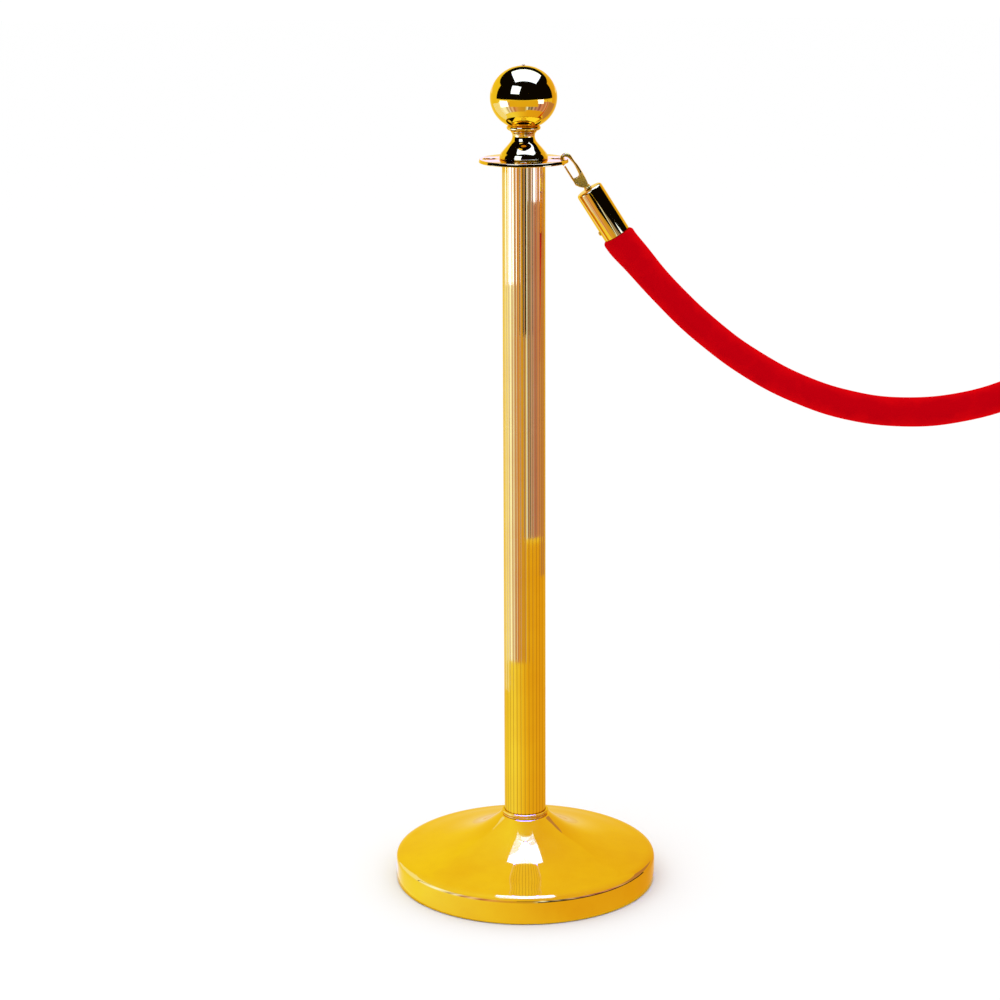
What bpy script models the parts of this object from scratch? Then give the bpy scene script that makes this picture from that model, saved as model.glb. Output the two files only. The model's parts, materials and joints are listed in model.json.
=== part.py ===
"""Ball-topped rope stanchion in polished brass, with one velvet rope.

The post stands on the floor plane with its axis on +Z and its origin under the middle of its base.
The rope leaves the ring plate towards +X, hangs in a curve and ends in a second, equal hook,
at the height where the next stanchion's ring plate would hold it.
All lengths are in metres: the constants below give millimetres times MM.
"""
import math

import bmesh
import bpy
from mathutils import Matrix, Vector

MM = 0.001
GAP = 0.3 * MM                       # clearance between pieces that touch

# Base
BASE_RADIUS = 160.0 * MM
SKIRT_FOOT = 1.0 * MM                # the cover's lower edge
SKIRT_TOP = 26.5 * MM
SHEET = 1.2 * MM                     # thickness of the spun cover
SEAT_RADIUS = 29.2 * MM
SEAT_HEIGHT = 82.0 * MM              # flat top of the cover, where the tube stands
WEIGHT_RADIUS = 148.0 * MM
WEIGHT_BOTTOM = 3.5 * MM
WEIGHT_TOP = 17.5 * MM
BOLT_RADIUS = 5.7 * MM
BOLT_HOLE_RADIUS = 6.5 * MM

# Tube
TUBE_RADIUS = 25.4 * MM
TUBE_BORE_RADIUS = 23.9 * MM
FLUTE_COUNT = 32
FLUTE_DEPTH = 0.6 * MM
TUBE_FOOT = SEAT_HEIGHT + GAP
INSERT_LENGTH = 30.0 * MM
COLLAR_RADIUS = 28.8 * MM
COLLAR_HEIGHT = 5.5 * MM

# Ring plate
PLATE_RADIUS = 52.4 * MM
PLATE_THICKNESS = 4.0 * MM
PLATE_TOP = 891.1 * MM
PLATE_BOTTOM = PLATE_TOP - PLATE_THICKNESS
PLATE_HOLES = 4
HOLE_RADIUS = 7.5 * MM
HOLE_CIRCLE_RADIUS = 39.6 * MM

# Head
STUD_RADIUS = 5.0 * MM
STUD_HOLE_RADIUS = 5.4 * MM
NECK_TOP = 924.0 * MM
BEAD_RADIUS = 19.8 * MM
BEAD_HEIGHT = 6.2 * MM
BALL_RADIUS = 39.2 * MM              # across
BALL_HALF_HEIGHT = 36.7 * MM
BALL_CENTRE = 962.1 * MM
BALL_SHEET = 1.0 * MM
BALL_NECK_RADIUS = 8.0 * MM
PLUG_RADIUS = 2.0 * MM

# Hook and ferrule, in the fitting's own frame: +Z along the ferrule to the hook, origin at its head
FITTING_LEAN = math.radians(32.2)    # ferrule axis from the vertical
LOOP_X = -3.8 * MM                   # middle of the hook's loop
LOOP_Z = 42.2 * MM
LOOP_INNER = 4.1 * MM
LOOP_OUTER = 7.0 * MM
LOOP_CROWN = 8.8 * MM                # the loop is thicker over its top
HOOK_THICKNESS = 5.6 * MM
JAW_THICKNESS = 9.0 * MM
NOSE_TIP = 38.0 * MM
PIN_X = -7.4 * MM
PIN_Z = 12.5 * MM
PIN_RADIUS = 1.1 * MM
PIN_HOLE_RADIUS = 1.4 * MM
GATE_HALF_WIDTH = 2.1 * MM
SHANK_RADIUS = 2.6 * MM
SHANK_END = -8.0 * MM
FERRULE_RADIUS = 16.2 * MM
FERRULE_BORE = 15.1 * MM
FERRULE_LENGTH = 63.0 * MM
FERRULE_HEAD = 2.2 * MM
SCREW_Z = -52.0 * MM
SCREW_RADIUS = 1.4 * MM
SCREW_HOLE_RADIUS = 1.7 * MM

# Rope
ROPE_RADIUS = 17.5 * MM
ROPE_MIDDLE_X = 0.4606               # the curve is symmetric about this plane
ROPE_ROUTE = [(0.1093, 0.8017), (0.1136, 0.7949), (0.1270, 0.7788), (0.1500, 0.7521),
              (0.1850, 0.7148), (0.2220, 0.6813), (0.2620, 0.6514), (0.3050, 0.6261),
              (0.3550, 0.6048), (0.4070, 0.5915), (0.4606, 0.5870), (0.5142, 0.5915),
              (0.5662, 0.6048), (0.6162, 0.6261), (0.6592, 0.6514), (0.6992, 0.6813),
              (0.7362, 0.7148), (0.7712, 0.7521), (0.7942, 0.7788), (0.8076, 0.7949),
              (0.8119, 0.8017)]
ROPE_STEP = 2.2 * 2 * ROPE_RADIUS    # distance between the tube's points

# Facets round a full turn
COARSE = 16
MEDIUM = 28
FINE = 48


def clear_scene():
    """Remove what the file opened with."""
    for old in list(bpy.data.objects):
        bpy.data.objects.remove(old, do_unlink=True)


def make_material(name, colour, roughness, metallic):
    """A Principled material of one plain colour."""
    material = bpy.data.materials.new(name)
    material.use_nodes = True
    shader = material.node_tree.nodes["Principled BSDF"]
    shader.inputs["Base Color"].default_value = (*colour, 1.0)
    shader.inputs["Roughness"].default_value = roughness
    shader.inputs["Metallic"].default_value = metallic
    material.diffuse_color = (*colour, 1.0)
    return material


def finish_mesh(name, shape, smooth_angle=35.0):
    """Turn a bmesh into a mesh with its faces pointing out."""
    bmesh.ops.recalc_face_normals(shape, faces=shape.faces)
    mesh = bpy.data.meshes.new(name)
    shape.to_mesh(mesh)
    shape.free()
    mesh.shade_smooth()
    mesh.set_sharp_from_angle(angle=math.radians(smooth_angle))
    return mesh


def turned(name, outline, facets):
    """Turn a closed outline of (radius, height) points about Z."""
    shape = bmesh.new()
    rings = []
    for radius, height in outline:
        if radius == 0.0:
            rings.append([shape.verts.new((0.0, 0.0, height))] * facets)
            continue
        ring = []
        for k in range(facets):
            angle = 2 * math.pi * k / facets
            ring.append(shape.verts.new((radius * math.cos(angle), radius * math.sin(angle), height)))
        rings.append(ring)
    for lower, upper in zip(rings, rings[1:] + rings[:1]):
        for k in range(facets):
            corners = []
            for vert in (lower[k - 1], lower[k], upper[k], upper[k - 1]):
                if vert not in corners:
                    corners.append(vert)
            if len(corners) > 2:
                shape.faces.new(corners)
    return finish_mesh(name, shape)


def extruded(name, outline, half_width, bevel=0.0):
    """Extrude a closed outline of (x, z) points along Y, to half_width on both sides."""
    shape = bmesh.new()
    corners = [shape.verts.new((x, -half_width, z)) for x, z in outline]
    face = shape.faces.new(corners)
    pushed = bmesh.ops.extrude_face_region(shape, geom=[face])
    moved = [item for item in pushed["geom"] if isinstance(item, bmesh.types.BMVert)]
    bmesh.ops.translate(shape, verts=moved, vec=(0.0, 2 * half_width, 0.0))
    bmesh.ops.recalc_face_normals(shape, faces=shape.faces)
    if bevel:
        rims = [edge for edge in shape.edges if abs(edge.verts[0].co.y - edge.verts[1].co.y) < 1e-7]
        bmesh.ops.bevel(shape, geom=rims, offset=bevel, segments=1, affect="EDGES")
    return finish_mesh(name, shape)


def rod(name, radius, start, end, facets=COARSE):
    """A plain round rod between two points."""
    direction = Vector(end) - Vector(start)
    place = Matrix.Translation((Vector(start) + Vector(end)) / 2)
    place @= direction.to_track_quat("Z", "Y").to_matrix().to_4x4()
    shape = bmesh.new()
    bmesh.ops.create_cone(shape, cap_ends=True, segments=facets, radius1=radius, radius2=radius,
                          depth=direction.length, matrix=place)
    return finish_mesh(name, shape)


def block(name, low, high):
    """A plain box between two corners."""
    shape = bmesh.new()
    size = Vector(high) - Vector(low)
    place = Matrix.Translation((Vector(low) + Vector(high)) / 2) @ Matrix.Diagonal((*size, 1.0))
    bmesh.ops.create_cube(shape, size=1.0, matrix=place)
    return finish_mesh(name, shape)


def combined(name, base, steps):
    """Join or cut meshes with exact Booleans; steps is a list of (operation, mesh)."""
    scene = bpy.context.scene
    target = bpy.data.objects.new(name, base)
    scene.collection.objects.link(target)
    tools = []
    for operation, mesh in steps:
        tool = bpy.data.objects.new(name + "_tool", mesh)
        tool.hide_render = True
        tool.display_type = "WIRE"
        scene.collection.objects.link(tool)
        tools.append(tool)
        modifier = target.modifiers.new(operation.lower(), "BOOLEAN")
        modifier.operation = operation
        modifier.solver = "EXACT"
        modifier.object = tool
    graph = bpy.context.evaluated_depsgraph_get()
    result = bpy.data.meshes.new_from_object(target.evaluated_get(graph))
    result.name = name
    for spare in [target] + tools:
        bpy.data.objects.remove(spare, do_unlink=True)
    result.shade_smooth()
    result.set_sharp_from_angle(angle=math.radians(35.0))
    return result


def arc(centre, radii, start, end, count):
    """Points on an elliptical arc; angles in degrees from +X."""
    points = []
    for k in range(count + 1):
        angle = math.radians(start + (end - start) * k / count)
        points.append((centre[0] + radii[0] * math.cos(angle), centre[1] + radii[1] * math.sin(angle)))
    return points


def hang(thing, where, joint):
    """Give an object its world matrix and put it under a joint's empty."""
    if joint is not None:
        thing.parent = joint["empty"]
        thing.matrix_parent_inverse = joint["world"].inverted()
    thing.matrix_basis = where


def add_joint(name, where, parent=None):
    """Put an empty on a joint's axis, under the empty of the joint before it."""
    empty = bpy.data.objects.new(name, None)
    empty.empty_display_size = 10 * MM
    bpy.context.scene.collection.objects.link(empty)
    hang(empty, where, parent)
    return {"empty": empty, "world": where}


def add_piece(name, mesh, material, where=Matrix.Identity(4), joint=None):
    """Add one piece of the object at its world matrix."""
    piece = bpy.data.objects.new(name, mesh)
    bpy.context.scene.collection.objects.link(piece)
    mesh.materials.clear()
    mesh.materials.append(material)
    hang(piece, where, joint)
    return piece


# ---------------------------------------------------------------- base

def make_base_cover():
    """A spun bell: upright skirt, rounded shoulder, hollow curve up to a flat seat."""
    bell = [(158.8, 30.4), (156.0, 32.6), (145.0, 35.4), (130.0, 38.4), (110.0, 42.2), (95.0, 45.8),
            (80.0, 50.6), (65.0, 57.0), (52.0, 64.4), (42.0, 71.6), (35.0, 77.2)]
    outer = [(BASE_RADIUS, SKIRT_FOOT), (BASE_RADIUS, SKIRT_TOP)]
    outer += [(radius * MM, height * MM) for radius, height in bell]
    outer.append((SEAT_RADIUS, SEAT_HEIGHT))
    rim = [(BOLT_HOLE_RADIUS, SEAT_HEIGHT), (BOLT_HOLE_RADIUS, SEAT_HEIGHT - SHEET)]
    inner = [(SEAT_RADIUS - SHEET, SEAT_HEIGHT - SHEET)]
    inner += [((radius - 1.0) * MM, (height - 1.3) * MM) for radius, height in bell[::-2]]
    inner += [(BASE_RADIUS - SHEET, SKIRT_TOP - 1.0 * MM), (BASE_RADIUS - SHEET, SKIRT_FOOT)]
    return turned("base_cover", outer + rim + inner, FINE)


def make_base_weight():
    """A cast disc with a boss that carries the cover's seat, and a recess for the bolt's head."""
    recess_radius = 19.0 * MM
    recess_top = 14.0 * MM
    boss_top = SEAT_HEIGHT - SHEET - GAP
    outline = [(BOLT_HOLE_RADIUS, boss_top), (24.0 * MM, boss_top), (27.0 * MM, 74.0 * MM),
               (38.0 * MM, 60.0 * MM), (52.0 * MM, WEIGHT_TOP + 6.0 * MM), (62.0 * MM, WEIGHT_TOP),
               (WEIGHT_RADIUS - 3.0 * MM, WEIGHT_TOP), (WEIGHT_RADIUS, WEIGHT_TOP - 3.0 * MM),
               (WEIGHT_RADIUS, WEIGHT_BOTTOM), (recess_radius, WEIGHT_BOTTOM),
               (recess_radius, recess_top), (BOLT_HOLE_RADIUS, recess_top)]
    return turned("base_weight", outline[::-1], 32)


def make_floor_ring():
    """A rubber ring that the weight stands on, just inside the cover's edge."""
    outline = [(132.0, 0.5), (133.0, 0.0), (156.0, 0.0), (157.5, 0.8), (157.5, 3.2), (132.0, 3.2)]
    return turned("floor_ring", [(radius * MM, height * MM) for radius, height in outline], FINE)


def make_base_bolt():
    """An M12 hex bolt, head down in the weight's recess."""
    head = rod("base_bolt", 10.4 * MM, (0, 0, 4.0 * MM), (0, 0, 10.9 * MM), facets=6)
    shank = rod("bolt_shank", BOLT_RADIUS, (0, 0, 10.0 * MM), (0, 0, 108.0 * MM))
    return combined("base_bolt", head, [("UNION", shank)])


def washer(name, inner, outer, bottom, top, facets=COARSE):
    """A plain round washer or bush."""
    return turned(name, [(inner, bottom), (outer, bottom), (outer, top), (inner, top)], facets)


# ---------------------------------------------------------------- tube

def make_post_tube():
    """A drawn tube with rounded flutes on its outside and a plain bore."""
    samples = 3
    total = FLUTE_COUNT * samples
    shape = bmesh.new()
    rings = []
    for height, bore in ((TUBE_FOOT, False), (PLATE_BOTTOM - GAP, False),
                         (PLATE_BOTTOM - GAP, True), (TUBE_FOOT, True)):
        ring = []
        for k in range(total):
            angle = 2 * math.pi * k / total
            groove = k % samples == 0 and not bore
            radius = TUBE_BORE_RADIUS if bore else TUBE_RADIUS - groove * FLUTE_DEPTH
            ring.append(shape.verts.new((radius * math.cos(angle), radius * math.sin(angle), height)))
        rings.append(ring)
    for lower, upper in zip(rings, rings[1:] + rings[:1]):
        for k in range(total):
            shape.faces.new((lower[k - 1], lower[k], upper[k], upper[k - 1]))
    return finish_mesh("post_tube", shape)


def make_foot_collar():
    """A bead ring round the tube's foot."""
    inner = TUBE_RADIUS + GAP
    middle = (COLLAR_RADIUS - COLLAR_HEIGHT / 2 + 0.6 * MM, TUBE_FOOT + COLLAR_HEIGHT / 2)
    bead = arc(middle, (COLLAR_HEIGHT / 2 - 0.6 * MM, COLLAR_HEIGHT / 2), -90, 90, 4)
    return turned("foot_collar", [(inner, TUBE_FOOT)] + bead + [(inner, TUBE_FOOT + COLLAR_HEIGHT)], 32)


def make_insert(name, bottom, bore):
    """A threaded plug pressed into one end of the tube."""
    return washer(name, bore, TUBE_BORE_RADIUS - GAP, bottom, bottom + INSERT_LENGTH, 24)


# ---------------------------------------------------------------- head

def make_ring_plate():
    """A round plate with a rounded edge and equally spaced rope holes."""
    soft = 1.4 * MM
    outline = [(STUD_HOLE_RADIUS, PLATE_BOTTOM), (PLATE_RADIUS - soft, PLATE_BOTTOM),
               (PLATE_RADIUS, PLATE_BOTTOM + soft), (PLATE_RADIUS, PLATE_TOP - soft),
               (PLATE_RADIUS - soft, PLATE_TOP), (STUD_HOLE_RADIUS, PLATE_TOP)]
    holes = []
    for k in range(PLATE_HOLES):
        angle = 2 * math.pi * k / PLATE_HOLES
        x, y = HOLE_CIRCLE_RADIUS * math.cos(angle), HOLE_CIRCLE_RADIUS * math.sin(angle)
        low, high = (x, y, PLATE_BOTTOM - 5 * MM), (x, y, PLATE_TOP + 5 * MM)
        holes.append(("DIFFERENCE", rod("rope_hole", HOLE_RADIUS, low, high, facets=20)))
    return combined("ring_plate", turned("ring_plate", outline, FINE), holes)


def make_head_cone():
    """A hollow flared neck: wide on the plate, narrow below the bead."""
    flare = [(28.6, 891.4), (28.5, 893.0), (26.8, 897.3), (24.0, 901.0), (19.9, 905.8), (15.8, 910.5),
             (13.6, 914.5), (13.1, 918.0), (13.7, 921.0), (15.2, 923.2)]
    outer = [(radius * MM, height * MM) for radius, height in flare] + [(15.2 * MM, NECK_TOP)]
    inner = [(STUD_HOLE_RADIUS, NECK_TOP), (STUD_HOLE_RADIUS, 913.0 * MM), (9.0 * MM, 911.0 * MM),
             (17.0 * MM, 902.5 * MM), (22.5 * MM, 896.0 * MM), (24.5 * MM, 891.4 * MM)]
    return turned("head_cone", outer + inner, MEDIUM)


def make_neck_bead():
    """A rounded ring between the cone and the ball."""
    bottom = NECK_TOP + GAP
    swell = BEAD_HEIGHT / 2
    bead = arc((BEAD_RADIUS - swell, bottom + swell), (swell, swell), -90, 90, 4)
    outline = [(STUD_HOLE_RADIUS, bottom)] + bead + [(STUD_HOLE_RADIUS, bottom + BEAD_HEIGHT)]
    return turned("neck_bead", outline, MEDIUM)


def make_ball_finial():
    """A hollow ball, open at its neck for the boss and at its top for the plug."""
    seat = NECK_TOP + BEAD_HEIGHT + 2 * GAP
    tilt = math.degrees(math.asin((seat - BALL_CENTRE) / BALL_HALF_HEIGHT))
    top = 88.0
    outer = arc((0.0, BALL_CENTRE), (BALL_RADIUS, BALL_HALF_HEIGHT), tilt, top, 14)
    core = (BALL_RADIUS - BALL_SHEET, BALL_HALF_HEIGHT - BALL_SHEET)
    inner = arc((0.0, BALL_CENTRE), core, top, tilt + 4.0, 7)
    neck = [(BALL_NECK_RADIUS, seat + BALL_SHEET), (BALL_NECK_RADIUS, seat)]
    return turned("ball_finial", outer + inner + neck, 32)


def make_ball_boss():
    """A threaded boss with a flange, fixed inside the ball's neck."""
    foot = NECK_TOP + BEAD_HEIGHT + 2 * GAP
    flange = foot + BALL_SHEET + GAP
    outline = [(STUD_HOLE_RADIUS, foot), (BALL_NECK_RADIUS - GAP, foot), (BALL_NECK_RADIUS - GAP, flange),
               (11.5 * MM, flange), (11.5 * MM, flange + 2.0 * MM), (7.5 * MM, flange + 2.0 * MM),
               (7.5 * MM, foot + 14.0 * MM), (STUD_HOLE_RADIUS, foot + 14.0 * MM)]
    return turned("ball_boss", outline, COARSE)


def make_ball_plug():
    """A small button that closes the hole at the ball's top."""
    top = BALL_CENTRE + BALL_HALF_HEIGHT
    outline = [(0.0, top - 2.5 * MM), (0.8 * MM, top - 2.5 * MM), (0.8 * MM, top + GAP),
               (PLUG_RADIUS, top + GAP), (1.4 * MM, top + 1.1 * MM), (0.0, top + 1.3 * MM)]
    return turned("ball_plug", outline, 12)


# ---------------------------------------------------------------- hook and ferrule

def hook_mesh():
    """A cast snap hook: loop, jaw with a slot for the gate, and the swivel shank below."""
    crown = arc((LOOP_X, LOOP_Z), (LOOP_OUTER, LOOP_CROWN), 0, 180, 10)
    eye = arc((LOOP_X, LOOP_Z), (LOOP_INNER, LOOP_INNER), 180, 0, 8)
    nose = [(LOOP_X - LOOP_OUTER, NOSE_TIP), (LOOP_X - LOOP_INNER, NOSE_TIP)]
    inside = [(0.3, 26.0), (-0.8, 21.5), (-3.6, 19.5), (-7.0, 20.5), (-10.4, 19.0)]
    jaw = [(-10.8, 15.0), (-10.6, 10.0), (-8.6, 6.0), (-4.0, 3.5), (4.0, 3.5), (4.4, 8.0), (4.2, 22.0)]
    outline = crown + nose + eye + [(x * MM, z * MM) for x, z in inside + jaw]
    loop = extruded("hook_loop", outline, HOOK_THICKNESS / 2, bevel=0.9 * MM)
    cheek = [(-10.4, 18.6), (-10.8, 15.0), (-10.6, 10.0), (-8.6, 6.0), (-4.0, 3.5), (4.0, 3.5),
             (4.3, 8.0), (3.6, 14.0), (0.4, 18.0), (-3.6, 19.2), (-7.0, 20.0)]
    jaws = extruded("hook_jaws", [(x * MM, z * MM) for x, z in cheek], JAW_THICKNESS / 2, bevel=1.2 * MM)
    collar = 4.6 * MM
    stem = turned("hook_stem", [(0.0, SHANK_END), (SHANK_RADIUS, SHANK_END), (SHANK_RADIUS, GAP),
                                (collar, GAP), (collar, 2.2 * MM), (3.8 * MM, 5.0 * MM),
                                (0.0, 5.0 * MM)], COARSE)
    slot = block("gate_slot", (-13.0 * MM, -2.4 * MM, 8.6 * MM), (-4.0 * MM, 2.4 * MM, 26.0 * MM))
    hole = rod("pin_hole", PIN_HOLE_RADIUS, (PIN_X, -9 * MM, PIN_Z), (PIN_X, 9 * MM, PIN_Z), 12)
    steps = [("UNION", jaws), ("UNION", stem), ("DIFFERENCE", slot), ("DIFFERENCE", hole)]
    return combined("snap_hook", loop, steps)


def gate_mesh():
    """The sprung lever: a bar up to the nose, and two lugs round the pin."""
    heel = arc((PIN_X, PIN_Z), (3.0 * MM, 3.0 * MM), 180, 360, 8)
    back = LOOP_X - LOOP_OUTER + 0.2 * MM
    front = LOOP_X - LOOP_INNER - 0.1 * MM
    tip = NOSE_TIP - 0.4 * MM
    outline = heel + [(PIN_X + 2.6 * MM, PIN_Z + 1.6 * MM), (front, PIN_Z + 5.0 * MM), (front, tip),
                      (back, tip), (back, PIN_Z + 4.0 * MM)]
    bar = extruded("gate_bar", outline, GATE_HALF_WIDTH, bevel=0.6 * MM)
    room = block("spring_room", (PIN_X - 4 * MM, -1.4 * MM, PIN_Z - 4 * MM),
                 (PIN_X + 4 * MM, 1.4 * MM, PIN_Z + 3.2 * MM))
    hole = rod("gate_hole", PIN_HOLE_RADIUS, (PIN_X, -4 * MM, PIN_Z), (PIN_X, 4 * MM, PIN_Z), 12)
    return combined("gate", bar, [("DIFFERENCE", room), ("DIFFERENCE", hole)])


def spring_mesh():
    """A torsion spring: a few turns of wire round the gate's pin."""
    turns, steps, sides = 2.5, 12, 5
    wire, radius, pitch = 0.3 * MM, 2.1 * MM, 0.66 * MM
    shape = bmesh.new()
    rings = []
    for k in range(int(turns * steps) + 1):
        angle = 2 * math.pi * k / steps
        out = Vector((math.cos(angle), 0.0, math.sin(angle)))
        middle = Vector((PIN_X, pitch * (k / steps - turns / 2), PIN_Z)) + out * radius
        ring = []
        for side in range(sides):
            turn = 2 * math.pi * side / sides
            offset = out * (wire * math.cos(turn)) + Vector((0.0, wire * math.sin(turn), 0.0))
            ring.append(shape.verts.new(middle + offset))
        rings.append(ring)
    for first, second in zip(rings, rings[1:]):
        for side in range(sides):
            shape.faces.new((first[side - 1], first[side], second[side], second[side - 1]))
    shape.faces.new(rings[0])
    shape.faces.new(rings[-1])
    return finish_mesh("gate_spring", shape)


def ferrule_mesh():
    """A drawn cup with a rounded head, a hole for the shank and one for the screw."""
    rounding = 3.0 * MM
    shoulder = arc((FERRULE_RADIUS - rounding, -rounding), (rounding, rounding), 90, 0, 3)
    hole = SHANK_RADIUS + GAP
    outline = [(hole, -FERRULE_HEAD), (hole, 0.0)] + shoulder
    outline += [(FERRULE_RADIUS, -FERRULE_LENGTH + 0.5 * MM), (FERRULE_RADIUS - 0.4 * MM, -FERRULE_LENGTH),
                (FERRULE_BORE, -FERRULE_LENGTH), (FERRULE_BORE, -FERRULE_HEAD)]
    cup = turned("ferrule", outline[::-1], MEDIUM)
    drill = rod("screw_hole", SCREW_HOLE_RADIUS, (-20 * MM, 0, SCREW_Z), (-10 * MM, 0, SCREW_Z), 12)
    return combined("ferrule", cup, [("DIFFERENCE", drill)])


def screw_mesh():
    """A round-headed screw through the ferrule's wall into the rope's end."""
    seat = -FERRULE_RADIUS - 0.1 * MM
    shank = rod("ferrule_screw", SCREW_RADIUS, (seat - 1.0 * MM, 0, SCREW_Z), (-8.5 * MM, 0, SCREW_Z), 12)
    head = turned("screw_head", [(0.0, 0.0), (2.6 * MM, 0.0), (2.6 * MM, 0.6 * MM), (1.9 * MM, 1.5 * MM),
                                 (0.0, 1.8 * MM)], 12)
    head.transform(Matrix.Translation((seat, 0.0, SCREW_Z)) @ Matrix.Rotation(math.radians(-90), 4, "Y"))
    return combined("ferrule_screw", shank, [("UNION", head)])


def rope_end_mesh():
    """The bound end of the rope, inside the ferrule."""
    radius = FERRULE_BORE - GAP
    core = rod("rope_end", radius, (0, 0, -FERRULE_LENGTH + GAP), (0, 0, -12 * MM), 20)
    drill = rod("end_hole", SCREW_HOLE_RADIUS, (-20 * MM, 0, SCREW_Z), (-7.5 * MM, 0, SCREW_Z), 12)
    return combined("rope_end", core, [("DIFFERENCE", drill)])


def nut_mesh():
    """A hex nut with a clear hole on the shank's end."""
    body = rod("swivel_nut", 4.8 * MM, (0, 0, -7.2 * MM), (0, 0, -4.1 * MM), 6)
    hole = rod("nut_hole", SHANK_RADIUS + GAP, (0, 0, -9 * MM), (0, 0, 0), COARSE)
    return combined("swivel_nut", body, [("DIFFERENCE", hole)])


# ---------------------------------------------------------------- rope

def smooth_route(route, step, lead):
    """Points along a smooth curve through the route, with short first and last stretches."""
    knots = [Vector((x, 0.0, z)) for x, z in route]
    knots = [knots[0] * 2 - knots[1]] + knots + [knots[-1] * 2 - knots[-2]]
    fine = []
    for k in range(1, len(knots) - 2):
        before, start, end, after = knots[k - 1:k + 3]
        for part in range(20):
            t = part / 20
            bend = (before * 2 - start * 5 + end * 4 - after) * t * t
            twist = (start * 3 - before - end * 3 + after) * t * t * t
            fine.append((start * 2 + (end - before) * t + bend + twist) / 2)
    fine.append(knots[-2])
    lengths = [0.0]
    for first, second in zip(fine, fine[1:]):
        lengths.append(lengths[-1] + (second - first).length)
    inner = lengths[-1] - 2 * lead
    count = max(2, round(inner / step))
    stops = [0.0] + [lead + inner * k / count for k in range(count + 1)] + [lengths[-1]]
    points = []
    for stop in stops:
        k = min(range(len(lengths)), key=lambda index: abs(lengths[index] - stop))
        points.append(fine[k])
    return points


def add_rope(material, joint):
    """The free rope as one tube between the two ferrules' mouths."""
    curve = bpy.data.curves.new("velvet_rope", "CURVE")
    curve.dimensions = "3D"
    curve.bevel_depth = ROPE_RADIUS
    curve.bevel_resolution = 3
    curve.render_resolution_u = 0
    curve.use_fill_caps = True
    points = smooth_route(ROPE_ROUTE, ROPE_STEP, 8 * MM)
    spline = curve.splines.new("POLY")
    spline.points.add(len(points) - 1)
    for knot, point in zip(spline.points, points):
        knot.co = (*point, 1.0)
    return add_piece("velvet_rope", curve, material, joint=joint)


# ---------------------------------------------------------------- assembly

def add_post(brass, steel, iron, rubber):
    """Everything that stands still: base, tube and head."""
    add_piece("base_cover", make_base_cover(), brass)
    add_piece("base_weight", make_base_weight(), iron)
    add_piece("floor_ring", make_floor_ring(), rubber)
    add_piece("base_bolt", make_base_bolt(), steel)
    seat = washer("base_washer", BOLT_HOLE_RADIUS, 16 * MM, 11.2 * MM, 13.7 * MM)
    add_piece("base_washer", seat, steel)
    add_piece("lower_insert", make_insert("lower_insert", TUBE_FOOT + GAP, BOLT_HOLE_RADIUS), steel)
    add_piece("foot_collar", make_foot_collar(), brass)
    add_piece("post_tube", make_post_tube(), brass)
    insert_bottom = PLATE_BOTTOM - INSERT_LENGTH - 2 * GAP
    add_piece("upper_insert", make_insert("upper_insert", insert_bottom, STUD_HOLE_RADIUS), steel)
    stud = rod("head_stud", STUD_RADIUS, (0, 0, 862 * MM), (0, 0, 943 * MM))
    add_piece("head_stud", stud, steel)
    add_piece("ring_plate", make_ring_plate(), brass)
    add_piece("head_cone", make_head_cone(), brass)
    add_piece("neck_bead", make_neck_bead(), brass)
    add_piece("ball_finial", make_ball_finial(), brass)
    add_piece("ball_boss", make_ball_boss(), brass)
    add_piece("ball_plug", make_ball_plug(), brass)


def fitting_places():
    """World matrices of the two fittings: the loop sits round the plate's rim at the post's end."""
    lean = Matrix.Rotation(-FITTING_LEAN, 4, "Y")
    rim_x = (HOLE_CIRCLE_RADIUS + HOLE_RADIUS + PLATE_RADIUS) / 2
    rim = Vector((rim_x, 0.0, PLATE_TOP - PLATE_THICKNESS / 2))
    near = Matrix.Translation(rim) @ lean @ Matrix.Translation((-LOOP_X, 0.0, -LOOP_Z))
    about = Matrix.Translation((ROPE_MIDDLE_X, 0.0, 0.0))
    half_turn = about @ Matrix.Rotation(math.pi, 4, "Z") @ about.inverted()
    return {"a": near, "b": half_turn @ near}


def add_fittings(brass, steel, twine, velvet):
    """Both hooks, gates and ferrules, and the rope between them, under their joints' empties."""
    places = fitting_places()
    loop = Matrix.Translation((LOOP_X, 0.0, LOOP_Z))
    pin = Matrix.Translation((PIN_X, 0.0, PIN_Z))
    hook_joint = add_joint("hook_a_swing", places["a"] @ loop)
    rope_joint = add_joint("rope_swivel", places["a"], hook_joint)
    far_joint = add_joint("hook_b_swivel", places["b"], rope_joint)
    hook = hook_mesh()
    gate = gate_mesh()
    spring = spring_mesh()
    ferrule = ferrule_mesh()
    screw = screw_mesh()
    rope_end = rope_end_mesh()
    nut = nut_mesh()
    ring = washer("swivel_washer", SHANK_RADIUS + GAP, 8 * MM, -3.7 * MM, -2.5 * MM)
    gate_pin = rod("gate_pin", PIN_RADIUS, (PIN_X, -4.7 * MM, PIN_Z), (PIN_X, 4.7 * MM, PIN_Z), 12)
    for end, joint in (("a", hook_joint), ("b", far_joint)):
        where = places[end]
        add_piece("snap_hook_" + end, hook, brass, where, joint)
        add_piece("gate_pin_" + end, gate_pin, steel, where, joint)
        add_piece("gate_spring_" + end, spring, steel, where, joint)
        add_piece("swivel_nut_" + end, nut, steel, where, joint)
        add_piece("gate_" + end, gate, brass, where, add_joint("gate_%s_hinge" % end, where @ pin, joint))
        add_piece("ferrule_" + end, ferrule, brass, where, rope_joint)
        add_piece("ferrule_screw_" + end, screw, brass, where, rope_joint)
        add_piece("swivel_washer_" + end, ring, steel, where, rope_joint)
        add_piece("rope_end_" + end, rope_end, twine, where, rope_joint)
    add_rope(velvet, rope_joint)


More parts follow.
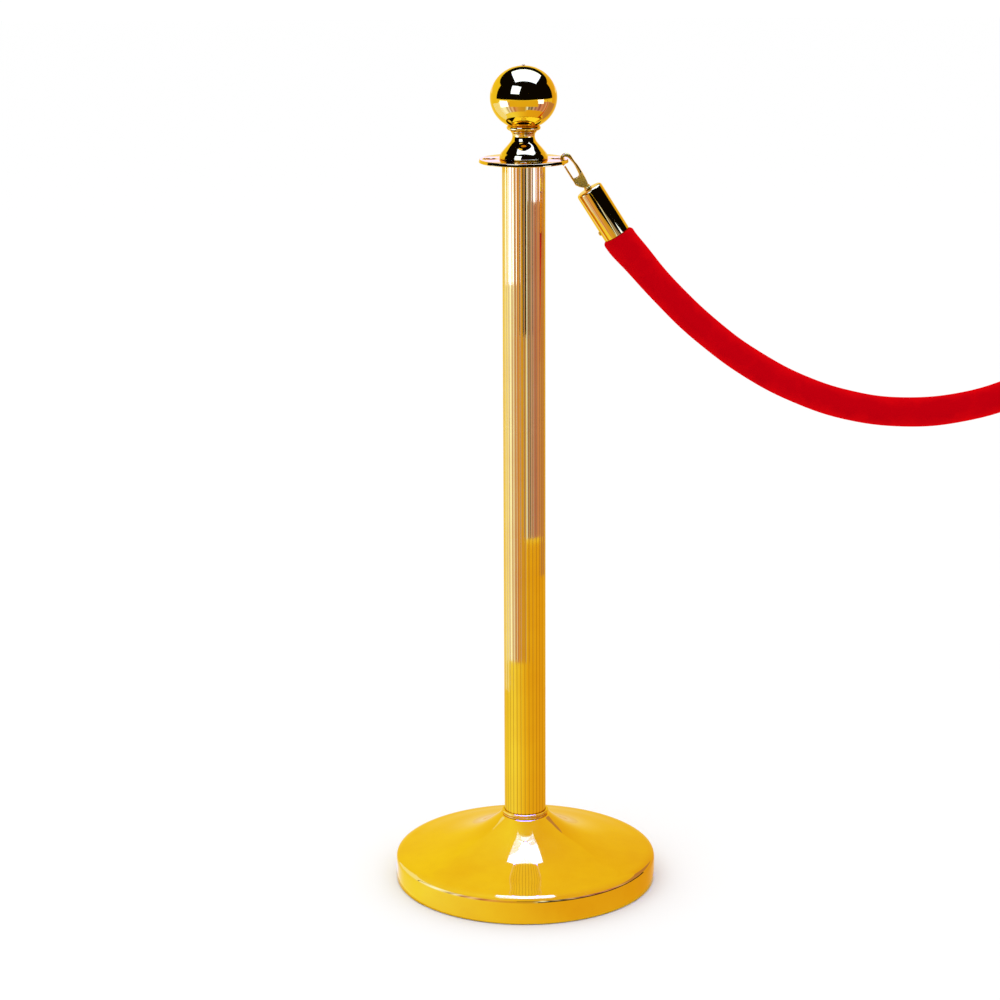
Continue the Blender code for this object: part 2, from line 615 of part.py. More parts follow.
def main():
    """Build the whole stanchion."""
    clear_scene()
    brass = make_material("polished_brass", (0.86, 0.56, 0.12), 0.12, 1.0)
    steel = make_material("zinc_steel", (0.62, 0.62, 0.60), 0.35, 1.0)
    iron = make_material("cast_iron", (0.05, 0.05, 0.05), 0.8, 0.0)
    rubber = make_material("black_rubber", (0.02, 0.02, 0.02), 0.7, 0.0)
    twine = make_material("bound_cotton", (0.75, 0.70, 0.58), 0.9, 0.0)
    velvet = make_material("red_velvet", (0.62, 0.01, 0.01), 0.85, 0.0)
    add_post(brass, steel, iron, rubber)
    add_fittings(brass, steel, twine, velvet)


main()
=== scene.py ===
"""Looks of the ball-topped rope stanchion: polished brass post, snap hooks and a red velvet rope.

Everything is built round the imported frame, in metres, with +Z up and the post's axis at x = y = 0.
"""

import json
import math

import bmesh
import bpy
import numpy as np
from mathutils import Matrix, Vector


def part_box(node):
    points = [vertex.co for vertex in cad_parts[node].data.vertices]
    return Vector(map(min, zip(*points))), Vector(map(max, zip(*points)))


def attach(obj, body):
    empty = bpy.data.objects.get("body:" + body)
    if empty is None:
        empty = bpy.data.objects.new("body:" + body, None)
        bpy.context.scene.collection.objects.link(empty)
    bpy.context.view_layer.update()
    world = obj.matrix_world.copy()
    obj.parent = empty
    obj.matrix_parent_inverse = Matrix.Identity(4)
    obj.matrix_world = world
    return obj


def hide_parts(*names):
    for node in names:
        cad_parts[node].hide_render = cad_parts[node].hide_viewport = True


MM = 0.001

# Camera
CAMERA_PLACE = (-0.0294, -3.1294, 1.2873)
CAMERA_PITCH = 14.447                # degrees below the horizon
CAMERA_ROLL = -0.2657
CAMERA_LENS = 96.81
SENSOR = 36.0

# Rope: the route's points (x, z) at y = 0, between the two ferrules' mouths
ROPE_ROUTE = [(0.1093, 0.8017), (0.1136, 0.7949), (0.1270, 0.7788), (0.1500, 0.7521),
              (0.1850, 0.7148), (0.2220, 0.6813), (0.2620, 0.6514), (0.3050, 0.6261),
              (0.3550, 0.6048), (0.4070, 0.5915), (0.4606, 0.5870), (0.5142, 0.5915),
              (0.5662, 0.6048), (0.6162, 0.6261), (0.6592, 0.6514), (0.6992, 0.6813),
              (0.7362, 0.7148), (0.7712, 0.7521), (0.7942, 0.7788), (0.8076, 0.7949),
              (0.8119, 0.8017)]
ROPE_RADIUS = 17.5 * MM
ROPE_SWELL = 2.0 * MM                # the sleeve is fuller just outside each ferrule
ROPE_SWELL_REACH = 45.0 * MM
ROPE_TUCK = 5.0 * MM                 # length over which the sleeve rounds into the ferrule's mouth
ROPE_TUCK_RADIUS = 14.6 * MM
ROPE_HOLLOWS = 0.10 * MM             # where the filling is uneven
ROPE_CHORD = 2.0 * MM                # half the length that gives the rope's direction at a point
TUCK_RINGS = 10
ROPE_RINGS = 420
ROPE_SIDES = 56

# Facets round a full turn
FINE = 192
MEDIUM = 96
SMALL = 48
SMOOTH_ANGLE = 40.0                  # degrees; sharper edges are shaded as edges

# Holes, tube and head
BOLT_HOLE_RADIUS = 6.5 * MM
STUD_HOLE_RADIUS = 5.4 * MM
PLATE_HOLES = 4
HOLE_RADIUS = 7.5 * MM
HOLE_CIRCLE_RADIUS = 39.6 * MM
TUBE_BORE_RADIUS = 23.9 * MM
COLLAR_BORE_RADIUS = 25.6 * MM
BALL_CENTRE = 962.1 * MM
BALL_HALF_HEIGHT = 36.7 * MM
BALL_SHEET = 1.0 * MM
BALL_NECK_RADIUS = 8.0 * MM

# Flutes
FLUTES = 32
FLUTE_DEPTH = 0.32 * MM
FLUTE_SHARE = 0.34                   # part of the pitch that the groove takes
FLUTE_SAMPLES = 14

# Fitting, in millimetres and its own frame: +Z along the ferrule to the hook, origin at the ferrule's head
LOOP_X = -3.8
LOOP_Z = 42.2
LOOP_MIDDLE = 5.55
PIN_X = -7.4
PIN_Z = 12.5
PIN_HOLE_RADIUS = 1.4
NOSE_TIP = 38.0
FERRULE_RADIUS = 16.2
FERRULE_BORE = 15.1
FERRULE_LENGTH = 63.0
FERRULE_ROUNDING = 3.4
SCREW_Z = -52.0
SCREW_HOLE_RADIUS = 1.7

# Colours, linear
BRASS_LIGHT = (0.86, 0.52, 0.010)
BRASS_DEEP = (0.80, 0.42, 0.006)
BRASS_EDGE = (1.0, 0.84, 0.40)
BRASS_PAINTED_GROOVE_SHADE = (0.56, 0.27, 0.005)   # painted shade along the flutes: darker brass in each groove
# Velvet colours with painted sheen: darker where the cloth faces the viewer, brighter along its sides
VELVET_FACE = (0.50, 0.000, 0.004)
VELVET_SHEEN_SIDE = (0.80, 0.001, 0.001)
WHITE = (1.0, 1.0, 1.0)
WINDOW = (1.5, 2.8, 95.0)            # radiance of the soft boxes: cool, so that brass shows them white
PALE_WINDOW = (1.4, 2.5, 75.0)
TWICE_MIRRORED = (2.0, 6.0, 5000.0)  # painted highlight: the same, seen only after two mirrorings
# painted reflection: a warm glow seen only after two mirrorings
TWICE_WARM = (1.15, 1.85, 60.0)
CREAM = (1.30, 1.35, 4.00)           # painted reflection: a strip's glow for grazing reflections, which brass tints less
BRASS_MIRROR = (0.84, 0.49, 0.018)   # share of each colour that the brass returns

# Studio, in metres and degrees of azimuth
FLOOR_HALF = 14.0
FLOOR_WHITE = (0.96, 0.96, 0.96)
CEILING = 0.565                      # height of the low glowing ceiling, just under the rope, that paints reflections
SKYLIGHT = CEILING - 0.001
SKYLIGHT_REACH = 0.277               # the front opening's outer radius
TUBE_GAP = 0.027                     # the ceiling's hole round the tube
CARD_STEPS = 48
SWEEP_RADIUS = 0.75                  # the white sweep behind the post
EDGE_RADIUS = 0.745                  # two narrow cards just in front of its ends
STRIP_RADIUS = 0.74
FRONT_RADIUS = 0.90                  # the streaky cards in front of the post
DARK_RADIUS = 0.89
FRONT_TOP = 0.78
MAT_HEIGHT = 0.0006
MAT_RADII = (0.164, 1.6)             # from just outside the base

# Studio cards, which paint reflections: display colours as the brass shows them, by azimuth from the front (+
# to the right)
STREAKS = [(-90, (250, 226, 160)), (-78, (255, 246, 200)), (-70, (250, 226, 160)),
           (-64, (184, 148, 96)), (-58, (250, 228, 186)), (-52, (184, 116, 70)),
           (-44, (240, 192, 136)), (-36, (184, 104, 52)), (-29, (222, 150, 72)),
           (-20, (214, 148, 48)), (-10, (208, 146, 34)), (5, (198, 144, 38)), (9, (206, 178, 110)),
           (14, (250, 240, 210)), (19, (84, 62, 28)), (25, (184, 154, 112)), (31, (92, 72, 52)),
           (38, (212, 166, 130)), (45, (150, 94, 74)), (53, (204, 138, 108)), (61, (146, 76, 58)),
           (69, (218, 142, 96)), (78, (186, 108, 66)), (88, (222, 164, 100)), (100, (188, 122, 54)),
           (112, (214, 160, 90)), (270, (250, 226, 160))]
MAT_BANDS = [(-90, (240, 200, 52)), (-60, (243, 206, 58)), (-15, (234, 180, 34)), (20, (226, 160, 20)),
             (110, (222, 150, 20)), (180, (232, 176, 26)), (270, (240, 200, 52))]
SWEEP_BANDS = [(90, (222, 152, 24)), (130, (226, 160, 22)), (165, (236, 182, 26)), (200, (240, 192, 30)),
               (256, (234, 184, 30))]
CEILING_BANDS = [(-90, (240, 196, 40)), (0, (226, 172, 28)), (90, (228, 166, 24)), (180, (238, 186, 28)),
                 (270, (240, 196, 40))]

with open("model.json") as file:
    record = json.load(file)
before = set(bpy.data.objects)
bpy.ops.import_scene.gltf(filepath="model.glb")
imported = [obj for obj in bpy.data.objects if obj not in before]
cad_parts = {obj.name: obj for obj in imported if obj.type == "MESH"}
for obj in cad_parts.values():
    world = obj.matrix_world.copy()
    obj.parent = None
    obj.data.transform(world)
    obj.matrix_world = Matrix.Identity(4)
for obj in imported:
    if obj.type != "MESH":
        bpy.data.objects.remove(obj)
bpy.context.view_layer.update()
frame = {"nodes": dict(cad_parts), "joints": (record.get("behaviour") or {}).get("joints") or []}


# ---------------------------------------------------------------- camera and stage

def make_camera():
    """The camera, at the height and pitch of a standing photographer's tripod."""
    data = bpy.data.cameras.new("camera")
    data.lens = CAMERA_LENS
    data.sensor_width = SENSOR
    camera = bpy.data.objects.new("camera", data)
    bpy.context.scene.collection.objects.link(camera)
    tilt = Matrix.Rotation(math.radians(90.0 - CAMERA_PITCH), 4, "X")
    roll = Matrix.Rotation(math.radians(CAMERA_ROLL), 4, "Z")
    camera.matrix_world = Matrix.Translation(CAMERA_PLACE) @ tilt @ roll
    bpy.context.scene.camera = camera


def add_mesh(name, vertices, faces):
    """A new object from plain lists."""
    mesh = bpy.data.meshes.new(name)
    mesh.from_pydata([tuple(v) for v in vertices], [], [tuple(f) for f in faces])
    mesh.update()
    thing = bpy.data.objects.new(name, mesh)
    bpy.context.scene.collection.objects.link(thing)
    return thing


def glow_material(name, colour=WHITE):
    """Plain emission; the colour is its radiance."""
    material = bpy.data.materials.new(name)
    material.use_nodes = True
    nodes = material.node_tree.nodes
    nodes.clear()
    glow = nodes.new("ShaderNodeEmission")
    glow.inputs["Color"].default_value = (*colour, 1.0)
    out = nodes.new("ShaderNodeOutputMaterial")
    material.node_tree.links.new(glow.outputs[0], out.inputs["Surface"])
    return material


def only_reflected(thing):
    """Seen in polished metal and nowhere else."""
    thing.visible_camera = False
    thing.visible_diffuse = False
    thing.visible_shadow = False
    thing.visible_transmission = False
    thing.visible_volume_scatter = False


def add_floor():
    """A plain pale floor."""
    corners = [(x * FLOOR_HALF, y * FLOOR_HALF, 0.0) for x, y in ((-1, -1), (1, -1), (1, 1), (-1, 1))]
    floor = add_mesh("studio_floor", corners, [(0, 1, 2, 3)])
    material = bpy.data.materials.new("studio_floor")
    material.use_nodes = True
    shader = material.node_tree.nodes["Principled BSDF"]
    shader.inputs["Base Color"].default_value = (*FLOOR_WHITE, 1.0)
    shader.inputs["Roughness"].default_value = 0.9
    shader.inputs["Specular IOR Level"].default_value = 0.0
    floor.data.materials.append(material)


def card_azimuths(left, right):
    """Sine and minus cosine of the azimuths along a card's width."""
    angles = [math.radians(left + (right - left) * k / CARD_STEPS) for k in range(CARD_STEPS + 1)]
    return [(math.sin(angle), -math.cos(angle)) for angle in angles]


def upright_arc(radius, low, high, left, right):
    """Corners and faces of an upright sheet bent round the post, between two azimuths."""
    vertices = []
    for x, y in card_azimuths(left, right):
        vertices += [(radius * x, radius * y, low), (radius * x, radius * y, high)]
    return vertices, [(2 * k, 2 * k + 2, 2 * k + 3, 2 * k + 1) for k in range(CARD_STEPS)]


def flat_ring(height, inner, outer, left, right, facing_down=False):
    """Corners and faces of a level sheet round the post, between two azimuths."""
    vertices = []
    for x, y in card_azimuths(left, right):
        vertices += [(inner * x, inner * y, height), (outer * x, outer * y, height)]
    faces = [(2 * k, 2 * k + 1, 2 * k + 3, 2 * k + 2) for k in range(CARD_STEPS)]
    if facing_down:
        faces = [face[::-1] for face in faces]
    return vertices, faces


def add_card(name, shape, material):
    """A studio card that only polished metal shows."""
    card = add_mesh(name, *shape)
    card.data.materials.append(material)
    only_reflected(card)


def linear(value):
    """One display level, 0 to 255, as linear light."""
    share = value / 255.0
    return share / 12.92 if share < 0.04 else ((share + 0.055) / 1.055) ** 2.4


def seen_in_brass(colour):
    """The light that polished brass turns into the wanted display colour."""
    return [linear(value) / share for value, share in zip(colour, BRASS_MIRROR)]


def fill_ramp(ramp, stops):
    """Set a colour ramp's stops, each (position, colour)."""
    while len(ramp.elements) < len(stops):
        ramp.elements.new(0.5)
    for element, (position, colour) in zip(ramp.elements, stops):
        element.position = position
        element.color = (*colour, 1.0)


def plain_glow(name, colour):
    """Emission of one colour, given as brass should show it."""
    return glow_material(name, seen_in_brass(colour))


def banded_glow(name, stops):
    """Emission that changes with the azimuth; stops are (azimuth from -90 to 270, colour in brass)."""
    material = glow_material(name)
    nodes, links = material.node_tree.nodes, material.node_tree.links
    where = nodes.new("ShaderNodeTexCoord")
    turn = nodes.new("ShaderNodeTexGradient")
    turn.gradient_type = "RADIAL"
    bands = nodes.new("ShaderNodeValToRGB")
    placed = [(0.25 + azimuth / 360.0, seen_in_brass(colour)) for azimuth, colour in stops]
    fill_ramp(bands.color_ramp, placed)
    links.new(where.outputs["Object"], turn.inputs["Vector"])
    links.new(turn.outputs["Fac"], bands.inputs["Fac"])
    links.new(bands.outputs["Color"], nodes["Emission"].inputs["Color"])
    return material


def one_sided(material, mirrors=None):
    """Clear from behind and to scattered light; with mirrors, clear to rays by fewer or more of them."""
    nodes, links = material.node_tree.nodes, material.node_tree.links

    def larger(first, second):
        node = nodes.new("ShaderNodeMath")
        node.operation = "MAXIMUM"
        links.new(first, node.inputs[0])
        links.new(second, node.inputs[1])
        return node.outputs[0]

    path = nodes.new("ShaderNodeLightPath")
    side = nodes.new("ShaderNodeNewGeometry")
    hidden = larger(side.outputs["Backfacing"], path.outputs["Diffuse Depth"])
    if mirrors is not None:
        test = nodes.new("ShaderNodeMath")
        test.operation = "GREATER_THAN" if mirrors == 1 else "LESS_THAN"
        links.new(path.outputs["Ray Depth"], test.inputs[0])
        test.inputs[1].default_value = 1.5
        hidden = larger(hidden, test.outputs[0])
    clear = nodes.new("ShaderNodeBsdfTransparent")
    mix = nodes.new("ShaderNodeMixShader")
    links.new(hidden, mix.inputs[0])
    links.new(nodes["Emission"].outputs[0], mix.inputs[1])
    links.new(clear.outputs[0], mix.inputs[2])
    links.new(mix.outputs[0], nodes["Material Output"].inputs["Surface"])
    return material


def skylight_shape():
    """Corners and faces of the ceiling's bright opening, which tapers to the back round the tube."""
    gap = TUBE_GAP
    front, back, wide, narrow = -0.074, 0.245, 0.122, 0.090
    corners = [(-wide, front), (wide, front), (wide, -gap), (-wide, -gap), (-gap, -gap), (-gap, gap),
               (-wide, gap), (gap, -gap), (wide, gap), (gap, gap), (narrow, back), (-narrow, back)]
    faces = [(0, 1, 2, 3), (3, 4, 5, 6), (7, 2, 8, 9), (6, 8, 10, 11)]
    return [(x, y, SKYLIGHT) for x, y in corners], [face[::-1] for face in faces]


def add_upright_cards():
    """Glowing cards that paint reflections in the brass: the white sweep behind the post, the streaky cards
    in front of it, and what lies between.
    """
    streaks = banded_glow("streak_glow", STREAKS)
    cards = [
        ("sweep", (SWEEP_RADIUS, 0.0, 1.39, 113.0, 256.0), banded_glow("sweep_glow", SWEEP_BANDS)),
        ("strip", (STRIP_RADIUS, 0.965, 1.02, 140.0, 220.0), glow_material("strip_glow", CREAM)),
        ("front_left", (FRONT_RADIUS, 0.0, FRONT_TOP, -97.0, 9.0), streaks),
        ("front_right", (FRONT_RADIUS, 0.20, FRONT_TOP, 9.0, 112.0), streaks),
        # a dark card: painted dark streak in the reflections
        ("dark_streak", (DARK_RADIUS, 0.52, FRONT_TOP, -8.0, 12.0), plain_glow("dark_glow", (8, 5, 2))),
        ("left_edge", (EDGE_RADIUS, 0.0, FRONT_TOP, 228.0, 263.0), plain_glow("left_glow", (244, 214, 128))),
        ("right_edge", (EDGE_RADIUS, 0.18, FRONT_TOP, 97.0, 135.0), plain_glow("right_glow", (186, 122, 56))),
    ]
    for name, place, material in cards:
        add_card("studio_" + name, upright_arc(*place), material)


def add_level_cards():
    """Glowing level cards that paint reflections in the brass: a warm mat on the floor, a shelf under the
    plate, and a low ceiling with bright openings.
    """
    around = (-90.0, 270.0)
    front = (-150.0, 150.0)
    mat = banded_glow("mat_glow", MAT_BANDS)
    shelf = one_sided(plain_glow("shelf_glow", (226, 166, 22)))
    ceiling = one_sided(banded_glow("ceiling_glow", CEILING_BANDS))
    # painted highlights: one opening that only singly mirrored rays see, two that only twice-mirrored rays
    # see
    opening = one_sided(glow_material("skylight_glow", WINDOW), 1)
    twice = one_sided(glow_material("twice_glow", TWICE_MIRRORED), 2)
    warm = one_sided(glow_material("twice_warm_glow", TWICE_WARM), 2)
    add_card("studio_mat", flat_ring(MAT_HEIGHT, *MAT_RADII, *around), mat)
    add_card("studio_shelf", flat_ring(0.86, 0.21, 0.95, -48.0, 50.0), shelf)
    add_card("studio_ceiling", flat_ring(CEILING, TUBE_GAP, SWEEP_RADIUS, *around, True), ceiling)
    add_card("studio_skylight", skylight_shape(), opening)
    add_card("studio_front_skylight", flat_ring(SKYLIGHT, 0.028, SKYLIGHT_REACH, *front, True), twice)
    add_card("studio_front_ceiling", flat_ring(SKYLIGHT, SKYLIGHT_REACH, 0.92, *front, True), warm)


def add_softbox(name, middle, target, size, radiance, for_metal):
    """A rectangular soft light that faces the target; radiance is its red, green and blue."""
    data = bpy.data.lights.new(name, "AREA")
    data.shape = "RECTANGLE"
    data.size, data.size_y = size
    peak = max(radiance)
    data.color = [part / peak for part in radiance]
    data.energy = peak * math.pi * size[0] * size[1]
    light = bpy.data.objects.new(name, data)
    bpy.context.scene.collection.objects.link(light)
    facing = (Vector(target) - Vector(middle)).to_track_quat("-Z", "Y")
    light.matrix_world = Matrix.Translation(middle) @ facing.to_matrix().to_4x4()
    light.visible_camera = False
    if for_metal:
        only_reflected(light)
    else:
        light.visible_glossy = False


def add_lights():
    """Bright cool windows that turn white in the brass, and one broad gentle light for the cloth."""
    ball = (0.0, 0.0, 0.96)
    boxes = [
        ("top_box", (0.39, 0.54, 3.40), (0.39, 0.54, 0.0), (3.0, 2.9), WINDOW, True),
        ("front_box", (-0.95, -1.55, 2.15), ball, (1.15, 1.15), WINDOW, True),
        ("left_box", (-0.66, -0.20, 0.75), ball, (0.40, 0.24), PALE_WINDOW, True),
        ("right_box", (0.62, -0.36, 0.83), ball, (0.30, 0.17), PALE_WINDOW, True),
        ("soft_key", (-1.2, -1.6, 3.0), (0.2, 0.0, 0.4), (2.4, 2.4), (0.6, 0.6, 0.6), False),
    ]
    for box in boxes:
        add_softbox(*box)


def background(nodes, colour, strength):
    """One even background."""
    node = nodes.new("ShaderNodeBackground")
    node.inputs["Color"].default_value = (*colour, 1.0)
    node.inputs["Strength"].default_value = strength
    return node


def add_world():
    """White surroundings; reflections see a painted dark room instead."""
    world = bpy.data.worlds.new("studio")
    bpy.context.scene.world = world
    world.use_nodes = True
    nodes, links = world.node_tree.nodes, world.node_tree.links
    nodes.clear()
    path = nodes.new("ShaderNodeLightPath")
    white = background(nodes, WHITE, 1.04)
    # painted dark reflection: what glossy rays see of the world
    dark = background(nodes, (1.0, 0.9, 0.9), 0.004)
    mix = nodes.new("ShaderNodeMixShader")
    out = nodes.new("ShaderNodeOutputWorld")
    links.new(path.outputs["Is Glossy Ray"], mix.inputs[0])
    links.new(white.outputs[0], mix.inputs[1])
    links.new(dark.outputs[0], mix.inputs[2])
    links.new(mix.outputs[0], out.inputs["Surface"])


# ---------------------------------------------------------------- curves and meshes

def smooth_line(points, count):
    """Points at equal steps along a curve of continuous curvature through the given ones."""
    knots = np.array(points, float)
    stops = np.concatenate([[0.0], np.cumsum(np.linalg.norm(np.diff(knots, axis=0), axis=1))])
    last = len(stops) - 1
    gaps = np.diff(stops)
    matrix = np.eye(last + 1)
    bends = np.zeros_like(knots)
    for k in range(1, last):
        matrix[k, k - 1:k + 2] = gaps[k - 1], 2 * (gaps[k - 1] + gaps[k]), gaps[k]
        slopes = (knots[k + 1] - knots[k]) / gaps[k] - (knots[k] - knots[k - 1]) / gaps[k - 1]
        bends[k] = 6 * slopes
    bends = np.linalg.solve(matrix, bends)
    where = np.linspace(0.0, stops[-1], count + 1)
    k = np.clip(np.searchsorted(stops, where, side="right") - 1, 0, last - 1)
    gap = gaps[k][:, None]
    after = (where - stops[k])[:, None]
    before = gap - after
    line = (bends[k] * before ** 3 + bends[k + 1] * after ** 3) / (6 * gap)
    line += (knots[k] / gap - bends[k] * gap / 6) * before
    line += (knots[k + 1] / gap - bends[k + 1] * gap / 6) * after
    return [tuple(point) for point in line]


def arc(centre, radii, start, end, count):
    """Points on an elliptical arc; angles in degrees from +X."""
    points = []
    for k in range(count + 1):
        angle = math.radians(start + (end - start) * k / count)
        points.append((centre[0] + radii[0] * math.cos(angle), centre[1] + radii[1] * math.sin(angle)))
    return points


def finish_shape(name, shape):
    """Turn a bmesh into a mesh with its faces pointing out and its edges shaded."""
    bmesh.ops.recalc_face_normals(shape, faces=shape.faces)
    mesh = bpy.data.meshes.new(name)
    shape.to_mesh(mesh)
    shape.free()
    mesh.shade_smooth()
    mesh.set_sharp_from_angle(angle=math.radians(SMOOTH_ANGLE))
    return mesh


def turned(name, outline, facets):
    """Turn a closed outline of (radius, height) points about Z."""
    shape = bmesh.new()
    rings = []
    for radius, height in outline:
        if radius == 0.0:
            rings.append([shape.verts.new((0.0, 0.0, height))] * facets)
            continue
        ring = []
        for k in range(facets):
            angle = 2 * math.pi * k / facets
            ring.append(shape.verts.new((radius * math.cos(angle), radius * math.sin(angle), height)))
        rings.append(ring)
    for lower, upper in zip(rings, rings[1:] + rings[:1]):
        for k in range(facets):
            corners = []
            for vert in (lower[k - 1], lower[k], upper[k], upper[k - 1]):
                if vert not in corners:
                    corners.append(vert)
            if len(corners) > 2:
                shape.faces.new(corners)
    return finish_shape(name, shape)


def swept(name, middles, sections, sides):
    """A closed tube through the (x, z) middles; sections are (half width in plane, half width along Y)."""
    shape = bmesh.new()
    points = [Vector((x, 0.0, z)) for x, z in middles]
    rings = []
    for k, middle in enumerate(points):
        ahead = points[min(k + 1, len(points) - 1)]
        behind = points[max(k - 1, 0)]
        along = (ahead - behind).normalized()
        out = Vector((along.z, 0.0, -along.x))
        ring = []
        for side in range(sides):
            angle = 2 * math.pi * side / sides
            offset = out * (sections[k][0] * math.cos(angle))
            offset += Vector((0.0, sections[k][1] * math.sin(angle), 0.0))
            ring.append(shape.verts.new(middle + offset))
        rings.append(ring)
    for first, second in zip(rings, rings[1:]):
        for side in range(sides):
            shape.faces.new((first[side - 1], first[side], second[side], second[side - 1]))
    shape.faces.new(rings[0])
    shape.faces.new(rings[-1])
    return finish_shape(name, shape)


def slab(name, outline, low, high):
    """A closed outline of (x, z) points between two places along Y."""
    shape = bmesh.new()
    face = shape.faces.new([shape.verts.new((x, low, z)) for x, z in outline])
    pushed = bmesh.ops.extrude_face_region(shape, geom=[face])
    moved = [item for item in pushed["geom"] if isinstance(item, bmesh.types.BMVert)]
    bmesh.ops.translate(shape, verts=moved, vec=(0.0, high - low, 0.0))
    return finish_shape(name, shape)


def rod(name, radius, start, end):
    """A plain round rod between two points."""
    direction = Vector(end) - Vector(start)
    place = Matrix.Translation((Vector(start) + Vector(end)) / 2)
    place @= direction.to_track_quat("Z", "Y").to_matrix().to_4x4()
    shape = bmesh.new()
    bmesh.ops.create_cone(shape, cap_ends=True, segments=SMALL, radius1=radius, radius2=radius,
                          depth=direction.length, matrix=place)
    return finish_shape(name, shape)


def evaluated(name, mesh, set_up):
    """The mesh after the modifiers that set_up puts on it."""
    thing = bpy.data.objects.new(name, mesh)
    bpy.context.scene.collection.objects.link(thing)
    spare = set_up(thing) or []
    graph = bpy.context.evaluated_depsgraph_get()
    result = bpy.data.meshes.new_from_object(thing.evaluated_get(graph))
    result.name = name
    for old in [thing] + spare:
        bpy.data.objects.remove(old, do_unlink=True)
    return result


def cut(name, mesh, tools, smooth_angle):
    """The mesh with the tools cut out of it."""
    def set_up(thing):
        spare = []
        for tool in tools:
            cutter = bpy.data.objects.new(name + "_tool", tool)
            bpy.context.scene.collection.objects.link(cutter)
            modifier = thing.modifiers.new("cut", "BOOLEAN")
            modifier.operation = "DIFFERENCE"
            modifier.solver = "EXACT"
            modifier.object = cutter
            spare.append(cutter)
        return spare
    result = evaluated(name, mesh, set_up)
    result.shade_smooth()
    result.set_sharp_from_angle(angle=math.radians(smooth_angle))
    return result


def cast(name, parts, voxel, rounds):
    """Overlapping closed parts grown into one solid with softened edges, as a casting has."""
    shape = bmesh.new()
    for part in parts:
        shape.from_mesh(part)
    mesh = finish_shape(name, shape)

    def set_up(thing):
        remesh = thing.modifiers.new("grow", "REMESH")
        remesh.mode = "VOXEL"
        remesh.voxel_size = voxel
        soften = thing.modifiers.new("soften", "SMOOTH")
        soften.factor = 0.5
        soften.iterations = rounds
    result = evaluated(name, mesh, set_up)
    result.shade_smooth()
    return result


def scaled(points):
    """Millimetre pairs in metres."""
    return [(first * MM, second * MM) for first, second in points]


def add_piece(name, mesh, material, body, nodes, place=None):
    """Show a mesh in place of CAD nodes, riding on their body."""
    thing = bpy.data.objects.new(name, mesh)
    bpy.context.scene.collection.objects.link(thing)
    if place is not None:
        thing.matrix_world = place
    if not mesh.materials:
        mesh.materials.append(material)
    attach(thing, body)
    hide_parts(*nodes)
    return thing


# ---------------------------------------------------------------- materials

class Graph:
    """Short ways to add nodes to one material."""

    def __init__(self, name):
        self.material = bpy.data.materials.new(name)
        self.material.use_nodes = True
        self.nodes = self.material.node_tree.nodes
        self.links = self.material.node_tree.links
        self.shader = self.nodes["Principled BSDF"]
        self.place = self.nodes.new("ShaderNodeTexCoord").outputs["Object"]

    def set(self, **values):
        """Plain values on the shader's own sockets; underscores stand for spaces."""
        for name, value in values.items():
            self.shader.inputs[name.replace("_", " ")].default_value = value

    def link(self, source, name):
        """Feed one of the shader's sockets."""
        self.links.new(source, self.shader.inputs[name])

    def stretched(self, scale):
        """Object coordinates, scaled along each axis."""
        node = self.nodes.new("ShaderNodeMapping")
        node.inputs["Scale"].default_value = scale
        self.links.new(self.place, node.inputs["Vector"])
        return node.outputs[0]

    def noise(self, scale, detail=3.0, roughness=0.5, where=None, distortion=0.0):
        """Soft random variation."""
        node = self.nodes.new("ShaderNodeTexNoise")
        node.inputs["Scale"].default_value = scale
        node.inputs["Detail"].default_value = detail
        node.inputs["Roughness"].default_value = roughness
        node.inputs["Distortion"].default_value = distortion
        self.links.new(where or self.place, node.inputs["Vector"])
        return node.outputs["Fac"]

    def ramp(self, source, stops):
        """A colour ramp; stops are (position, colour)."""
        node = self.nodes.new("ShaderNodeValToRGB")
        fill_ramp(node.color_ramp, stops)
        self.links.new(source, node.inputs["Fac"])
        return node.outputs["Color"]

    def spread(self, source, low, high, start=0.3, end=0.7):
        """Map a texture onto a range."""
        node = self.nodes.new("ShaderNodeMapRange")
        node.inputs["From Min"].default_value = start
        node.inputs["From Max"].default_value = end
        node.inputs["To Min"].default_value = low
        node.inputs["To Max"].default_value = high
        self.links.new(source, node.inputs["Value"])
        return node.outputs["Result"]

    def maths(self, operation, first, second):
        """One arithmetic step on sockets or plain numbers."""
        node = self.nodes.new("ShaderNodeMath")
        node.operation = operation
        for socket, value in zip(node.inputs, (first, second)):
            if isinstance(value, (int, float)):
                socket.default_value = value
            else:
                self.links.new(value, socket)
        return node.outputs[0]

    def grooves(self):
        """1 along the bottom of each flute, 0 on the lands between them; the mask of the painted shade in the
        flutes.
        """
        turn = self.nodes.new("ShaderNodeTexGradient")
        turn.gradient_type = "RADIAL"
        self.links.new(self.place, turn.inputs["Vector"])
        pitches = self.maths("MULTIPLY", turn.outputs["Fac"], float(FLUTES))
        return self.spread(self.maths("PINGPONG", pitches, 0.5), 1.0, 0.0, 0.02, 0.45 * FLUTE_SHARE)

    def facing(self, blend=0.5):
        """0 where the surface faces the viewer, 1 at its outline."""
        node = self.nodes.new("ShaderNodeLayerWeight")
        node.inputs["Blend"].default_value = blend
        return node.outputs["Facing"]

    def mixed(self, factor, first, second):
        """Blend two colours, each a socket or a plain colour."""
        node = self.nodes.new("ShaderNodeMix")
        node.data_type = "RGBA"
        self.links.new(factor, node.inputs["Factor"])
        for socket, value in zip(node.inputs[6:8], (first, second)):      # its two colour sockets
            if isinstance(value, tuple):
                socket.default_value = (*value, 1.0)
            else:
                self.links.new(value, socket)
        return node.outputs[2]

    def bump(self, height, strength, distance, under=None):
        """Small relief in the surface's normal."""
        node = self.nodes.new("ShaderNodeBump")
        node.inputs["Strength"].default_value = strength
        node.inputs["Distance"].default_value = distance
        self.links.new(height, node.inputs["Height"])
        if under is not None:
            self.links.new(under, node.inputs["Normal"])
        return node.outputs["Normal"]


